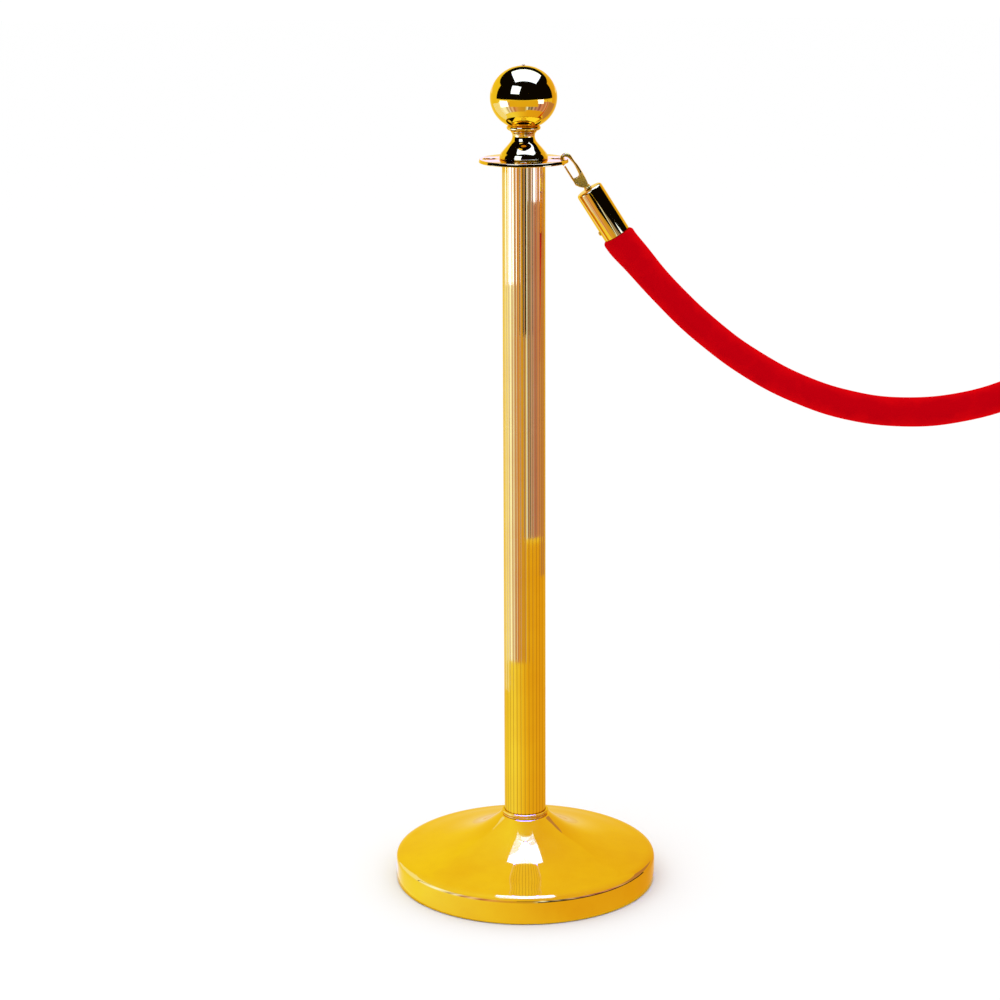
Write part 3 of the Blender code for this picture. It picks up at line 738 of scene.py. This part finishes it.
def brass_material(name, wave_scale, wave_depth, grain_scale, dull=0.0, fluted=False):
    """Lacquered, polished brass: faint waves, buffing marks, finger smudges, warmer patches, and on fluted
    pieces painted shade along each groove.
    """
    graph = Graph(name)
    graph.set(Metallic=1.0, Coat_Weight=0.12, Coat_Roughness=0.03, Coat_IOR=1.5,
              Specular_Tint=(*BRASS_EDGE, 1.0))
    patches = graph.spread(graph.noise(9.0, 4.0, 0.6), 0.0, 1.0, 0.35, 0.75)
    tone = graph.mixed(patches, BRASS_LIGHT, BRASS_DEEP)
    if fluted:
        # painted shade: darker brass along the bottom of each flute
        tone = graph.mixed(graph.grooves(), tone, BRASS_PAINTED_GROOVE_SHADE)
    graph.link(tone, "Base Color")
    smudges = graph.spread(graph.noise(55.0, 6.0, 0.65, distortion=0.6), 0.0, 0.05, 0.52, 0.75)
    grain = graph.noise(1.0, 2.0, 0.5, graph.stretched(grain_scale))
    marks = graph.spread(grain, 0.030 + dull, 0.055 + dull)
    graph.link(graph.maths("ADD", smudges, marks), "Roughness")
    waves = graph.noise(1.0, 1.0, 0.4, graph.stretched(wave_scale))
    soft = graph.bump(waves, 1.0, wave_depth)
    graph.link(graph.bump(grain, 0.25, 0.000002, soft), "Normal")
    return graph.material


def velvet_material():
    """Deep red pile with painted sheen, darker where it faces the viewer and brighter along its sides, a
    painted dark outline, and mottled by its nap.
    """
    graph = Graph("red_velvet")
    graph.set(Roughness=0.95, Sheen_Weight=0.12, Sheen_Roughness=0.4, Sheen_Tint=(1.0, 0.02, 0.02, 1.0),
              Specular_IOR_Level=0.0)
    nap = graph.noise(38.0, 5.0, 0.62, distortion=0.5)
    # painted sheen: the colour follows how squarely the cloth faces the viewer, mottled by the nap
    turn = graph.maths("ADD", graph.facing(0.42), graph.spread(nap, -0.16, 0.16))
    pile = graph.noise(1500.0, 2.0, 0.6)
    # painted sheen and shade: dark where it faces the viewer, bright at its sides, dark again right at the
    # outline
    shade = graph.ramp(turn, [(0.05, VELVET_FACE), (0.42, (0.66, 0.001, 0.004)), (0.75, VELVET_SHEEN_SIDE),
                              (1.0, (0.55, 0.0, 0.004))])
    tips = graph.mixed(graph.spread(pile, 0.0, 0.22, 0.35, 0.7), shade, (0.30, 0.0, 0.004))
    graph.link(tips, "Base Color")
    rough = graph.bump(pile, 0.6, 0.0004)
    graph.link(graph.bump(nap, 0.5, 0.0012, rough), "Normal")
    return graph.material


def steel_material():
    """Zinc-plated steel: dull, slightly blotchy, with fine crystals."""
    graph = Graph("zinc_steel")
    graph.set(Metallic=1.0)
    blotches = graph.noise(180.0, 4.0, 0.6)
    tone = graph.ramp(blotches, [(0.3, (0.46, 0.47, 0.47)), (0.7, (0.66, 0.66, 0.63))])
    graph.link(tone, "Base Color")
    graph.link(graph.spread(graph.noise(900.0, 2.0), 0.25, 0.48), "Roughness")
    graph.link(graph.bump(graph.noise(2200.0, 2.0), 0.3, 0.00003), "Normal")
    return graph.material


def iron_material():
    """Rough sand-cast iron under thin black paint, with a little rust."""
    graph = Graph("cast_iron")
    sand = graph.noise(700.0, 4.0, 0.65)
    rust = graph.spread(graph.noise(26.0, 6.0, 0.7), 0.0, 1.0, 0.60, 0.72)
    paint = graph.ramp(sand, [(0.3, (0.020, 0.020, 0.021)), (0.7, (0.050, 0.049, 0.048))])
    graph.link(graph.mixed(rust, paint, (0.13, 0.045, 0.018)), "Base Color")
    graph.link(graph.spread(sand, 0.55, 0.85), "Roughness")
    lumps = graph.bump(graph.noise(60.0, 3.0), 0.5, 0.0008)
    graph.link(graph.bump(sand, 0.7, 0.0004, lumps), "Normal")
    return graph.material


def rubber_material():
    """Moulded black rubber with dust in its pores."""
    graph = Graph("black_rubber")
    pores = graph.noise(1300.0, 3.0, 0.6)
    dust = graph.spread(graph.noise(45.0, 5.0, 0.6), 0.0, 0.35, 0.5, 0.8)
    body = graph.ramp(pores, [(0.35, (0.010, 0.010, 0.010)), (0.7, (0.024, 0.024, 0.023))])
    graph.link(graph.mixed(dust, body, (0.09, 0.085, 0.08)), "Base Color")
    graph.link(graph.spread(pores, 0.55, 0.8), "Roughness")
    graph.link(graph.bump(pores, 0.5, 0.0002), "Normal")
    return graph.material


def cotton_material():
    """Undyed twine bound round the rope's end."""
    graph = Graph("bound_cotton")
    strands = graph.nodes.new("ShaderNodeTexWave")
    strands.bands_direction = "Z"
    strands.inputs["Scale"].default_value = 320.0
    strands.inputs["Distortion"].default_value = 1.5
    graph.links.new(graph.place, strands.inputs["Vector"])
    tone = graph.ramp(strands.outputs["Fac"], [(0.1, (0.42, 0.36, 0.26)), (0.8, (0.78, 0.72, 0.58))])
    graph.link(tone, "Base Color")
    graph.set(Roughness=0.92, Sheen_Weight=0.2)
    graph.link(graph.bump(strands.outputs["Fac"], 0.8, 0.0005), "Normal")
    return graph.material


# ---------------------------------------------------------------- rope

def rope_radius(along, length):
    """The sleeve's radius: tucked in at each ferrule, then full, then even."""
    near = min(along, length - along)
    full = ROPE_RADIUS + ROPE_SWELL * math.exp(-(near / ROPE_SWELL_REACH) ** 2)
    if near >= ROPE_TUCK:
        return full
    rise = math.sqrt(max(0.0, 1.0 - (1.0 - near / ROPE_TUCK) ** 2))
    return ROPE_TUCK_RADIUS + (full - ROPE_TUCK_RADIUS) * rise


def rope_mesh(line):
    """A thick velvet sleeve along the line, with slow hollows where the filling is uneven."""
    points = np.array([(x, 0.0, z) for x, z in line])
    steps = np.linalg.norm(np.diff(points, axis=0), axis=1)
    stops = np.concatenate([[0.0], np.cumsum(steps)])
    length = stops[-1]

    def point(along):
        return np.array([np.interp(along, stops, points[:, axis]) for axis in range(3)])

    ends = [ROPE_TUCK * (1 - math.cos(math.pi / 2 * k / TUCK_RINGS)) for k in range(TUCK_RINGS)]
    inner = np.linspace(ROPE_TUCK, length - ROPE_TUCK, ROPE_RINGS)
    places = ends + list(inner) + [length - end for end in ends[::-1]]
    shape = bmesh.new()
    rings = []
    for along in places:
        middle = point(along)
        chord = point(min(along + ROPE_CHORD, length)) - point(max(along - ROPE_CHORD, 0.0))
        direction = chord / np.linalg.norm(chord)
        out = np.array([direction[2], 0.0, -direction[0]])
        radius = rope_radius(along, length)
        ring = []
        for side in range(ROPE_SIDES):
            angle = 2 * math.pi * side / ROPE_SIDES
            slow = math.sin(along * 61.0 + 2.0 * angle) + math.sin(along * 97.0 - 3.0 * angle + 1.0)
            reach = radius + ROPE_HOLLOWS * slow
            offset = out * (reach * math.cos(angle)) + np.array([0.0, reach * math.sin(angle), 0.0])
            ring.append(shape.verts.new(middle + offset))
        rings.append(ring)
    for first, second in zip(rings, rings[1:]):
        for side in range(ROPE_SIDES):
            shape.faces.new((first[side - 1], first[side], second[side], second[side - 1]))
    shape.faces.new(rings[0])
    shape.faces.new(rings[-1])
    return finish_shape("velvet_rope", shape)


def add_rope(material):
    """The velvet rope, a free cord that another post holds up."""
    line = smooth_line(ROPE_ROUTE, 600)
    rope = add_piece("velvet_sleeve", rope_mesh(line), material, "rope", ["velvet_rope"])


# ---------------------------------------------------------------- post

def span(node):
    """A round node's outer radius, bottom and top."""
    low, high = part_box(node)
    return high.x, low.z, high.z


def base_cover_mesh():
    """Spun bell: upright skirt with a turned hem, soft shoulder, hollow curve, flat seat."""
    radius, foot, seat = span("base_cover")
    sheet, hem = 1.2 * MM, 0.55 * MM
    bell = [(158.9, 30.4), (156.0, 32.6), (145.0, 35.4), (130.0, 38.4), (110.0, 42.2), (95.0, 45.8),
            (80.0, 50.6), (65.0, 57.0), (52.0, 64.4), (42.0, 71.6), (35.0, 77.2), (30.2, 81.6)]
    skirt = [(radius, foot + hem + 1.0 * MM), (radius, 22.0 * MM), (radius, 26.5 * MM)]
    outer = [skirt[0]] + smooth_line(skirt[1:] + scaled(bell), 150)
    outer += [(29.2 * MM, seat), (BOLT_HOLE_RADIUS, seat), (BOLT_HOLE_RADIUS, seat - sheet),
              (28.0 * MM, seat - sheet)]
    inner = [((r - 1.0) * MM, (z - 1.3) * MM) for r, z in bell[::-2]]
    inner += [(radius - sheet, 25.5 * MM), (radius - sheet, foot + hem)]
    lip = arc((radius - sheet + hem, foot + hem), (hem, hem), 180, 360, 8)
    return turned("base_cover", outer + inner + lip[1:], FINE)


def foot_collar_mesh():
    """A half-round ring with a fine step under it."""
    radius, bottom, top = span("foot_collar")
    half = (top - bottom - 1.1 * MM) / 2
    step = [(COLLAR_BORE_RADIUS, bottom), (radius - 0.9 * MM, bottom), (radius - 0.6 * MM, bottom + 0.5 * MM),
            (radius - 0.9 * MM, bottom + 1.0 * MM)]
    bead = arc((radius - half, top - half), (half, half), -80, 90, 18)
    return turned("foot_collar", step + bead + [(COLLAR_BORE_RADIUS, top)], FINE)


def post_tube_mesh():
    """A drawn tube: smooth lands with narrow round grooves between them."""
    radius, bottom, top = span("post_tube")
    bore = TUBE_BORE_RADIUS
    total = FLUTES * FLUTE_SAMPLES
    soft = 0.3 * MM
    shape = bmesh.new()
    rings = []
    levels = [(bottom, radius - soft, True), (bottom + soft, radius, True), (top - soft, radius, True),
              (top, radius - soft, True), (top, bore, False), (bottom, bore, False)]
    for height, reach, fluted in levels:
        ring = []
        for k in range(total):
            angle = 2 * math.pi * k / total
            place = (k / FLUTE_SAMPLES + 0.5) % 1.0 - 0.5
            inside = max(0.0, 1.0 - abs(place) / (FLUTE_SHARE / 2))
            groove = FLUTE_DEPTH * (1 - math.cos(math.pi * inside)) / 2 if fluted else 0.0
            size = reach - groove
            ring.append(shape.verts.new((size * math.cos(angle), size * math.sin(angle), height)))
        rings.append(ring)
    for lower, upper in zip(rings, rings[1:] + rings[:1]):
        for k in range(total):
            shape.faces.new((lower[k - 1], lower[k], upper[k], upper[k - 1]))
    return finish_shape("post_tube", shape)


def hole_tool(radius, bottom, top, rounding):
    """A cutter for a round hole with rounded edges."""
    reach = 3.0 * MM
    outline = [(0.0, bottom - reach), (radius + rounding, bottom - reach)]
    outline += arc((radius + rounding, bottom + rounding), (rounding, rounding), 270, 180, 6)
    outline += arc((radius + rounding, top - rounding), (rounding, rounding), 180, 90, 6)
    outline += [(radius + rounding, top + reach), (0.0, top + reach)]
    return turned("hole_tool", outline, MEDIUM)


def ring_plate_mesh():
    """A round plate whose rim leans in a little, with four rope holes with rounded edges."""
    radius, bottom, top = span("ring_plate")
    under, over, draft, rounding = 0.7 * MM, 1.1 * MM, 0.5 * MM, 0.9 * MM
    rim = arc((radius - under, bottom + under), (under, under), -90, 0, 8)
    rim += arc((radius - draft - over, top - over), (over, over), 10, 90, 12)
    plate = turned("ring_plate", [(STUD_HOLE_RADIUS, bottom)] + rim + [(STUD_HOLE_RADIUS, top)], FINE)
    tools = []
    for k in range(PLATE_HOLES):
        tool = hole_tool(HOLE_RADIUS, bottom, top, rounding)
        angle = 2 * math.pi * k / PLATE_HOLES
        x, y = HOLE_CIRCLE_RADIUS * math.cos(angle), HOLE_CIRCLE_RADIUS * math.sin(angle)
        tool.transform(Matrix.Translation((x, y, 0.0)))
        tools.append(tool)
    return cut("ring_plate", plate, tools, 30.0)


def head_cone_mesh():
    """A flared neck with a small lip at its foot and its top."""
    radius, bottom, top = span("head_cone")
    flare = [(28.3, 893.4), (26.8, 897.3), (24.0, 901.0), (19.9, 905.8), (15.8, 910.5), (13.6, 914.5),
             (13.1, 918.0), (13.7, 921.0)]
    foot = arc((radius - 1.0 * MM, bottom + 1.0 * MM), (1.0 * MM, 1.0 * MM), -90, 60, 8)
    lip = arc((14.1 * MM, top - 1.1 * MM), (1.1 * MM, 1.1 * MM), -60, 90, 8)
    inner = [(5.4, 924.0), (5.4, 913.0), (9.0, 911.0), (17.0, 902.5), (22.5, 896.0), (24.5, 891.4)]
    return turned("head_cone", foot + smooth_line(scaled(flare), 70) + lip + scaled(inner), MEDIUM)


def neck_bead_mesh():
    """A full round ring."""
    radius, bottom, top = span("neck_bead")
    half = (top - bottom) / 2
    bead = arc((radius - half, bottom + half), (half, half), -90, 90, 24)
    return turned("neck_bead", [(STUD_HOLE_RADIUS, bottom)] + bead + [(STUD_HOLE_RADIUS, top)], MEDIUM)


def ball_mesh():
    """A hollow spun ball, a little flatter than round, open at its neck and top."""
    radius, bottom, _ = span("ball_finial")
    start = math.degrees(math.asin((bottom - BALL_CENTRE) / BALL_HALF_HEIGHT))
    outer = arc((0.0, BALL_CENTRE), (radius, BALL_HALF_HEIGHT), start, 88.4, 90)
    hollow = (radius - BALL_SHEET, BALL_HALF_HEIGHT - BALL_SHEET)
    inner = arc((0.0, BALL_CENTRE), hollow, 88.0, start + 4.0, 30)
    neck = [(BALL_NECK_RADIUS, bottom + BALL_SHEET), (BALL_NECK_RADIUS, bottom)]
    return turned("ball_finial", outer + inner + neck, FINE)


def ball_plug_mesh():
    """A small domed button on a short spigot."""
    radius, bottom, top = span("ball_plug")
    edge, rim = top - 1.0 * MM, 0.2 * MM
    dome = arc((0.0, edge + rim), (radius, top - edge - rim), 0, 90, 10)
    spigot = [(0.0, bottom), (0.8 * MM, bottom), (0.8 * MM, edge), (radius, edge)]
    return turned("ball_plug", spigot + dome[:-1] + [(0.0, top)], SMALL)


def add_post(materials):
    """The polished pieces of base, tube and head."""
    pieces = [("bell_cover", base_cover_mesh, "spun", "base_cover"),
              ("foot_ring", foot_collar_mesh, "spun", "foot_collar"),
              ("fluted_tube", post_tube_mesh, "drawn", "post_tube"),
              ("rope_plate", ring_plate_mesh, "spun", "ring_plate"),
              ("flared_neck", head_cone_mesh, "spun", "head_cone"),
              ("neck_ring", neck_bead_mesh, "spun", "neck_bead"),
              ("ball", ball_mesh, "spun", "ball_finial"),
              ("top_button", ball_plug_mesh, "spun", "ball_plug")]
    for name, make, finish, node in pieces:
        add_piece(name, make(), materials[finish], "post", [node])


# ---------------------------------------------------------------- hook, gate and ferrule

def pin_hole(reach):
    """A cutter for the gate's pin, as far as the reach to either side."""
    ends = [(PIN_X * MM, side * reach * MM, PIN_Z * MM) for side in (-1, 1)]
    return rod("pin_hole", PIN_HOLE_RADIUS * MM, *ends)


def hook_shape():
    """A cast snap hook: tapered loop, forked jaw, and the swivel's collar and shank."""
    side = LOOP_X + LOOP_MIDDLE
    rise = [(0.2, 6.0), (1.0, 12.0), (1.9, 19.0), (2.5, 26.0), (2.6, 32.0), (side + 0.4, 37.5)]
    crown = arc((LOOP_X, LOOP_Z), (LOOP_MIDDLE, 6.45), 0, 180, 16)
    path = rise + crown + [(LOOP_X - LOOP_MIDDLE, NOSE_TIP + 0.6)]
    sections = [(2.6, 3.2), (3.0, 3.4), (2.9, 3.3), (2.3, 3.1), (2.0, 2.9), (1.65, 2.7)]
    for k in range(len(crown)):
        thick = 1.45 + 0.9 * math.sin(math.pi * k / (len(crown) - 1))
        sections.append((thick, 2.6))
    sections.append((1.4, 2.3))
    loop = swept("loop", scaled(smooth_line(path, 90)), scaled(smooth_line(sections, 90)), 24)
    cheek = [(-9.9, 18.0), (-10.3, 15.0), (-9.7, 11.6), (-7.8, 8.2), (-4.8, 5.4), (-2.6, 3.9), (2.4, 3.7),
             (3.4, 8.0), (3.8, 14.0), (3.2, 21.0), (0.4, 19.8), (-3.6, 18.6), (-7.2, 19.4)]
    near = slab("near_cheek", scaled(cheek), -4.1 * MM, -2.4 * MM)
    far = slab("far_cheek", scaled(cheek), 2.4 * MM, 4.1 * MM)
    web = [(-3.2, 4.2), (2.4, 3.8), (3.6, 9.0), (3.8, 14.0), (3.4, 22.0), (0.6, 22.0), (-2.8, 17.0)]
    core = slab("web", scaled(web), -3.2 * MM, 3.2 * MM)
    floor = slab("jaw_floor", scaled([(-7.4, 7.8), (-4.6, 5.3), (0.0, 4.0), (0.0, 8.6), (-6.8, 8.8)]),
                 -3.2 * MM, 3.2 * MM)
    stem = turned("stem", scaled([(0.0, -8.0), (2.5, -8.0), (2.5, 0.4), (4.6, 0.4), (4.6, 2.0),
                                  (3.9, 3.0), (3.6, 5.0), (0.0, 5.0)]), SMALL)
    body = cast("snap_hook", [loop, near, far, core, floor, stem], 0.30 * MM, 10)
    return cut("snap_hook", body, [pin_hole(9.0)], 50.0)


def gate_shape():
    """The sprung lever: a slim bar with two lugs at its pin."""
    edge = LOOP_X - LOOP_MIDDLE + 0.1
    path = [(PIN_X - 0.6, PIN_Z + 1.0), (PIN_X - 1.4, PIN_Z + 4.0), (edge, PIN_Z + 8.0), (edge, 30.0),
            (edge, NOSE_TIP - 0.7)]
    sections = [(2.0, 1.9), (1.5, 1.9), (1.25, 1.8), (1.2, 1.8), (1.15, 1.8)]
    bar = swept("bar", scaled(path), scaled(sections), 20)
    lug = arc((PIN_X, PIN_Z), (2.9, 2.9), 170, 370, 16)
    lug += [(PIN_X + 1.6, PIN_Z + 3.2), (PIN_X - 2.4, PIN_Z + 3.6)]
    near = slab("near_lug", scaled(lug), -2.1 * MM, -1.3 * MM)
    far = slab("far_lug", scaled(lug), 1.3 * MM, 2.1 * MM)
    body = cast("gate", [bar, near, far], 0.22 * MM, 4)
    return cut("gate", body, [pin_hole(4.0)], 50.0)


def pin_shape():
    """A rivet pin with a rounded head at both ends."""
    radius, half, head = 1.1, 4.3, 0.4
    end = arc((0.0, half - head), (radius, head), 0, 90, 6)
    outline = [(0.0, -half)] + [(x, -z) for x, z in end[::-1][1:]] + end[:-1] + [(0.0, half)]
    mesh = turned("gate_pin", scaled(outline), SMALL)
    mesh.transform(Matrix.Translation((PIN_X * MM, 0, PIN_Z * MM)) @ Matrix.Rotation(math.pi / 2, 4, "X"))
    return mesh


def ferrule_shape():
    """A drawn cup with a flat-topped round head and a softened mouth."""
    hole = 2.9
    head = arc((FERRULE_RADIUS - FERRULE_ROUNDING, -FERRULE_ROUNDING), (FERRULE_ROUNDING, FERRULE_ROUNDING),
               90, 0, 14)
    mouth = (FERRULE_RADIUS - FERRULE_BORE) / 2
    lip = arc((FERRULE_BORE + mouth, -FERRULE_LENGTH + mouth), (mouth, mouth), 0, -180, 10)
    outline = [(hole, -2.2), (hole, -0.2), (hole + 0.2, 0.0)] + head + lip
    outline += [(FERRULE_BORE, -4.2), (FERRULE_BORE - 2.0, -2.2)]
    cup = turned("ferrule", scaled(outline[::-1]), MEDIUM)
    drill = rod("screw_hole", SCREW_HOLE_RADIUS * MM, (-20 * MM, 0, SCREW_Z * MM),
                (-10 * MM, 0, SCREW_Z * MM))
    return cut("ferrule", cup, [drill], 35.0)


def screw_shape():
    """A round-headed slotted screw."""
    head = arc((0.0, 0.25), (2.6, 1.5), 0, 90, 10)
    outline = [(0.0, -7.6), (0.6, -7.6), (1.4, -6.2), (1.4, 0.0), (2.6, 0.0)] + head[:-1] + [(0.0, 1.75)]
    mesh = turned("ferrule_screw", scaled(outline), SMALL)
    slot = slab("slot", scaled([(-4.0, 0.9), (4.0, 0.9), (4.0, 3.0), (-4.0, 3.0)]), -0.35 * MM, 0.35 * MM)
    mesh = cut("ferrule_screw", mesh, [slot], 35.0)
    place = Matrix.Translation(((-FERRULE_RADIUS - 0.1) * MM, 0.0, SCREW_Z * MM))
    turn = Matrix.Rotation(math.radians(-90), 4, "Y") @ Matrix.Rotation(math.radians(25), 4, "Z")
    mesh.transform(place @ turn)
    return mesh


def fitting_places():
    """World matrices of the two fittings, from the axes that their ferrules turn on."""
    joints = {joint["name"]: joint for joint in frame["joints"]}
    places = {}
    for end, name, sense in (("a", "rope_swivel", -1.0), ("b", "hook_b_swivel", 1.0)):
        origin = Vector(joints[name]["pos_m"])
        up = Vector(joints[name]["axis"]).normalized() * sense
        across = Vector((0.0, -sense, 0.0))
        side = across.cross(up)
        turn = Matrix((side, across, up)).transposed().to_4x4()
        places[end] = Matrix.Translation(origin) @ turn
    return places


def add_fittings(materials):
    """Both hooks, gates, pins, ferrules and screws; returns what lies on the rope."""
    places = fitting_places()
    brass = materials["cast"]
    hook, gate, pin = hook_shape(), gate_shape(), pin_shape()
    ferrule, screw = ferrule_shape(), screw_shape()
    on_rope = []
    for end in "ab":
        where = places[end]
        pieces = [("hook_", hook, brass, "hook_" + end, "snap_hook_"),
                  ("hook_gate_", gate, brass, "gate_" + end, "gate_"),
                  ("hook_pin_", pin, brass, "hook_" + end, "gate_pin_"),
                  ("rope_ferrule_", ferrule, materials["drawn_small"], "rope", "ferrule_"),
                  ("slotted_screw_", screw, brass, "rope", "ferrule_screw_")]
        made = [add_piece(name + end, mesh, finish, body, [node + end], place=where)
                for name, mesh, finish, body, node in pieces]
        hidden = ["gate_spring_", "swivel_nut_", "swivel_washer_", "rope_end_"]
        on_rope += made + [frame["nodes"][name + end] for name in hidden]
    return on_rope


# ---------------------------------------------------------------- CAD nodes that stay

def dress_nodes(materials):
    """Give every CAD node that stays its finish."""
    finishes = {"base_weight": "iron", "floor_ring": "rubber", "base_bolt": "steel", "base_washer": "steel",
                "lower_insert": "steel", "upper_insert": "steel", "head_stud": "steel", "ball_boss": "spun"}
    for end in "ab":
        for name in ("gate_spring_", "swivel_nut_", "swivel_washer_"):
            finishes[name + end] = "steel"
        finishes["rope_end_" + end] = "cotton"
    for name, finish in finishes.items():
        mesh = frame["nodes"][name].data
        mesh.materials.clear()
        mesh.materials.append(materials[finish])


def main():
    """Camera and studio first, then the fittings, the rope and the post."""
    make_camera()
    add_world()
    add_floor()
    add_upright_cards()
    add_level_cards()
    add_lights()
    bpy.context.scene.view_settings.view_transform = "Standard"
    materials = {
        "spun": brass_material("spun_brass", (14.0, 14.0, 14.0), 0.00010, (700.0, 700.0, 90.0)),
        "drawn": brass_material("drawn_brass", (40.0, 40.0, 3.0), 0.00003, (1800.0, 1800.0, 12.0),
                                fluted=True),
        "drawn_small": brass_material("ferrule_brass", (20.0, 20.0, 9.0), 0.00003, (1500.0, 1500.0, 30.0)),
        "cast": brass_material("cast_brass", (90.0, 90.0, 90.0), 0.00005, (900.0, 900.0, 900.0), dull=0.24),
        "steel": steel_material(),
        "iron": iron_material(),
        "rubber": rubber_material(),
        "cotton": cotton_material(),
    }
    on_rope = add_fittings(materials)
    add_rope(velvet_material())
    add_post(materials)
    dress_nodes(materials)


main()
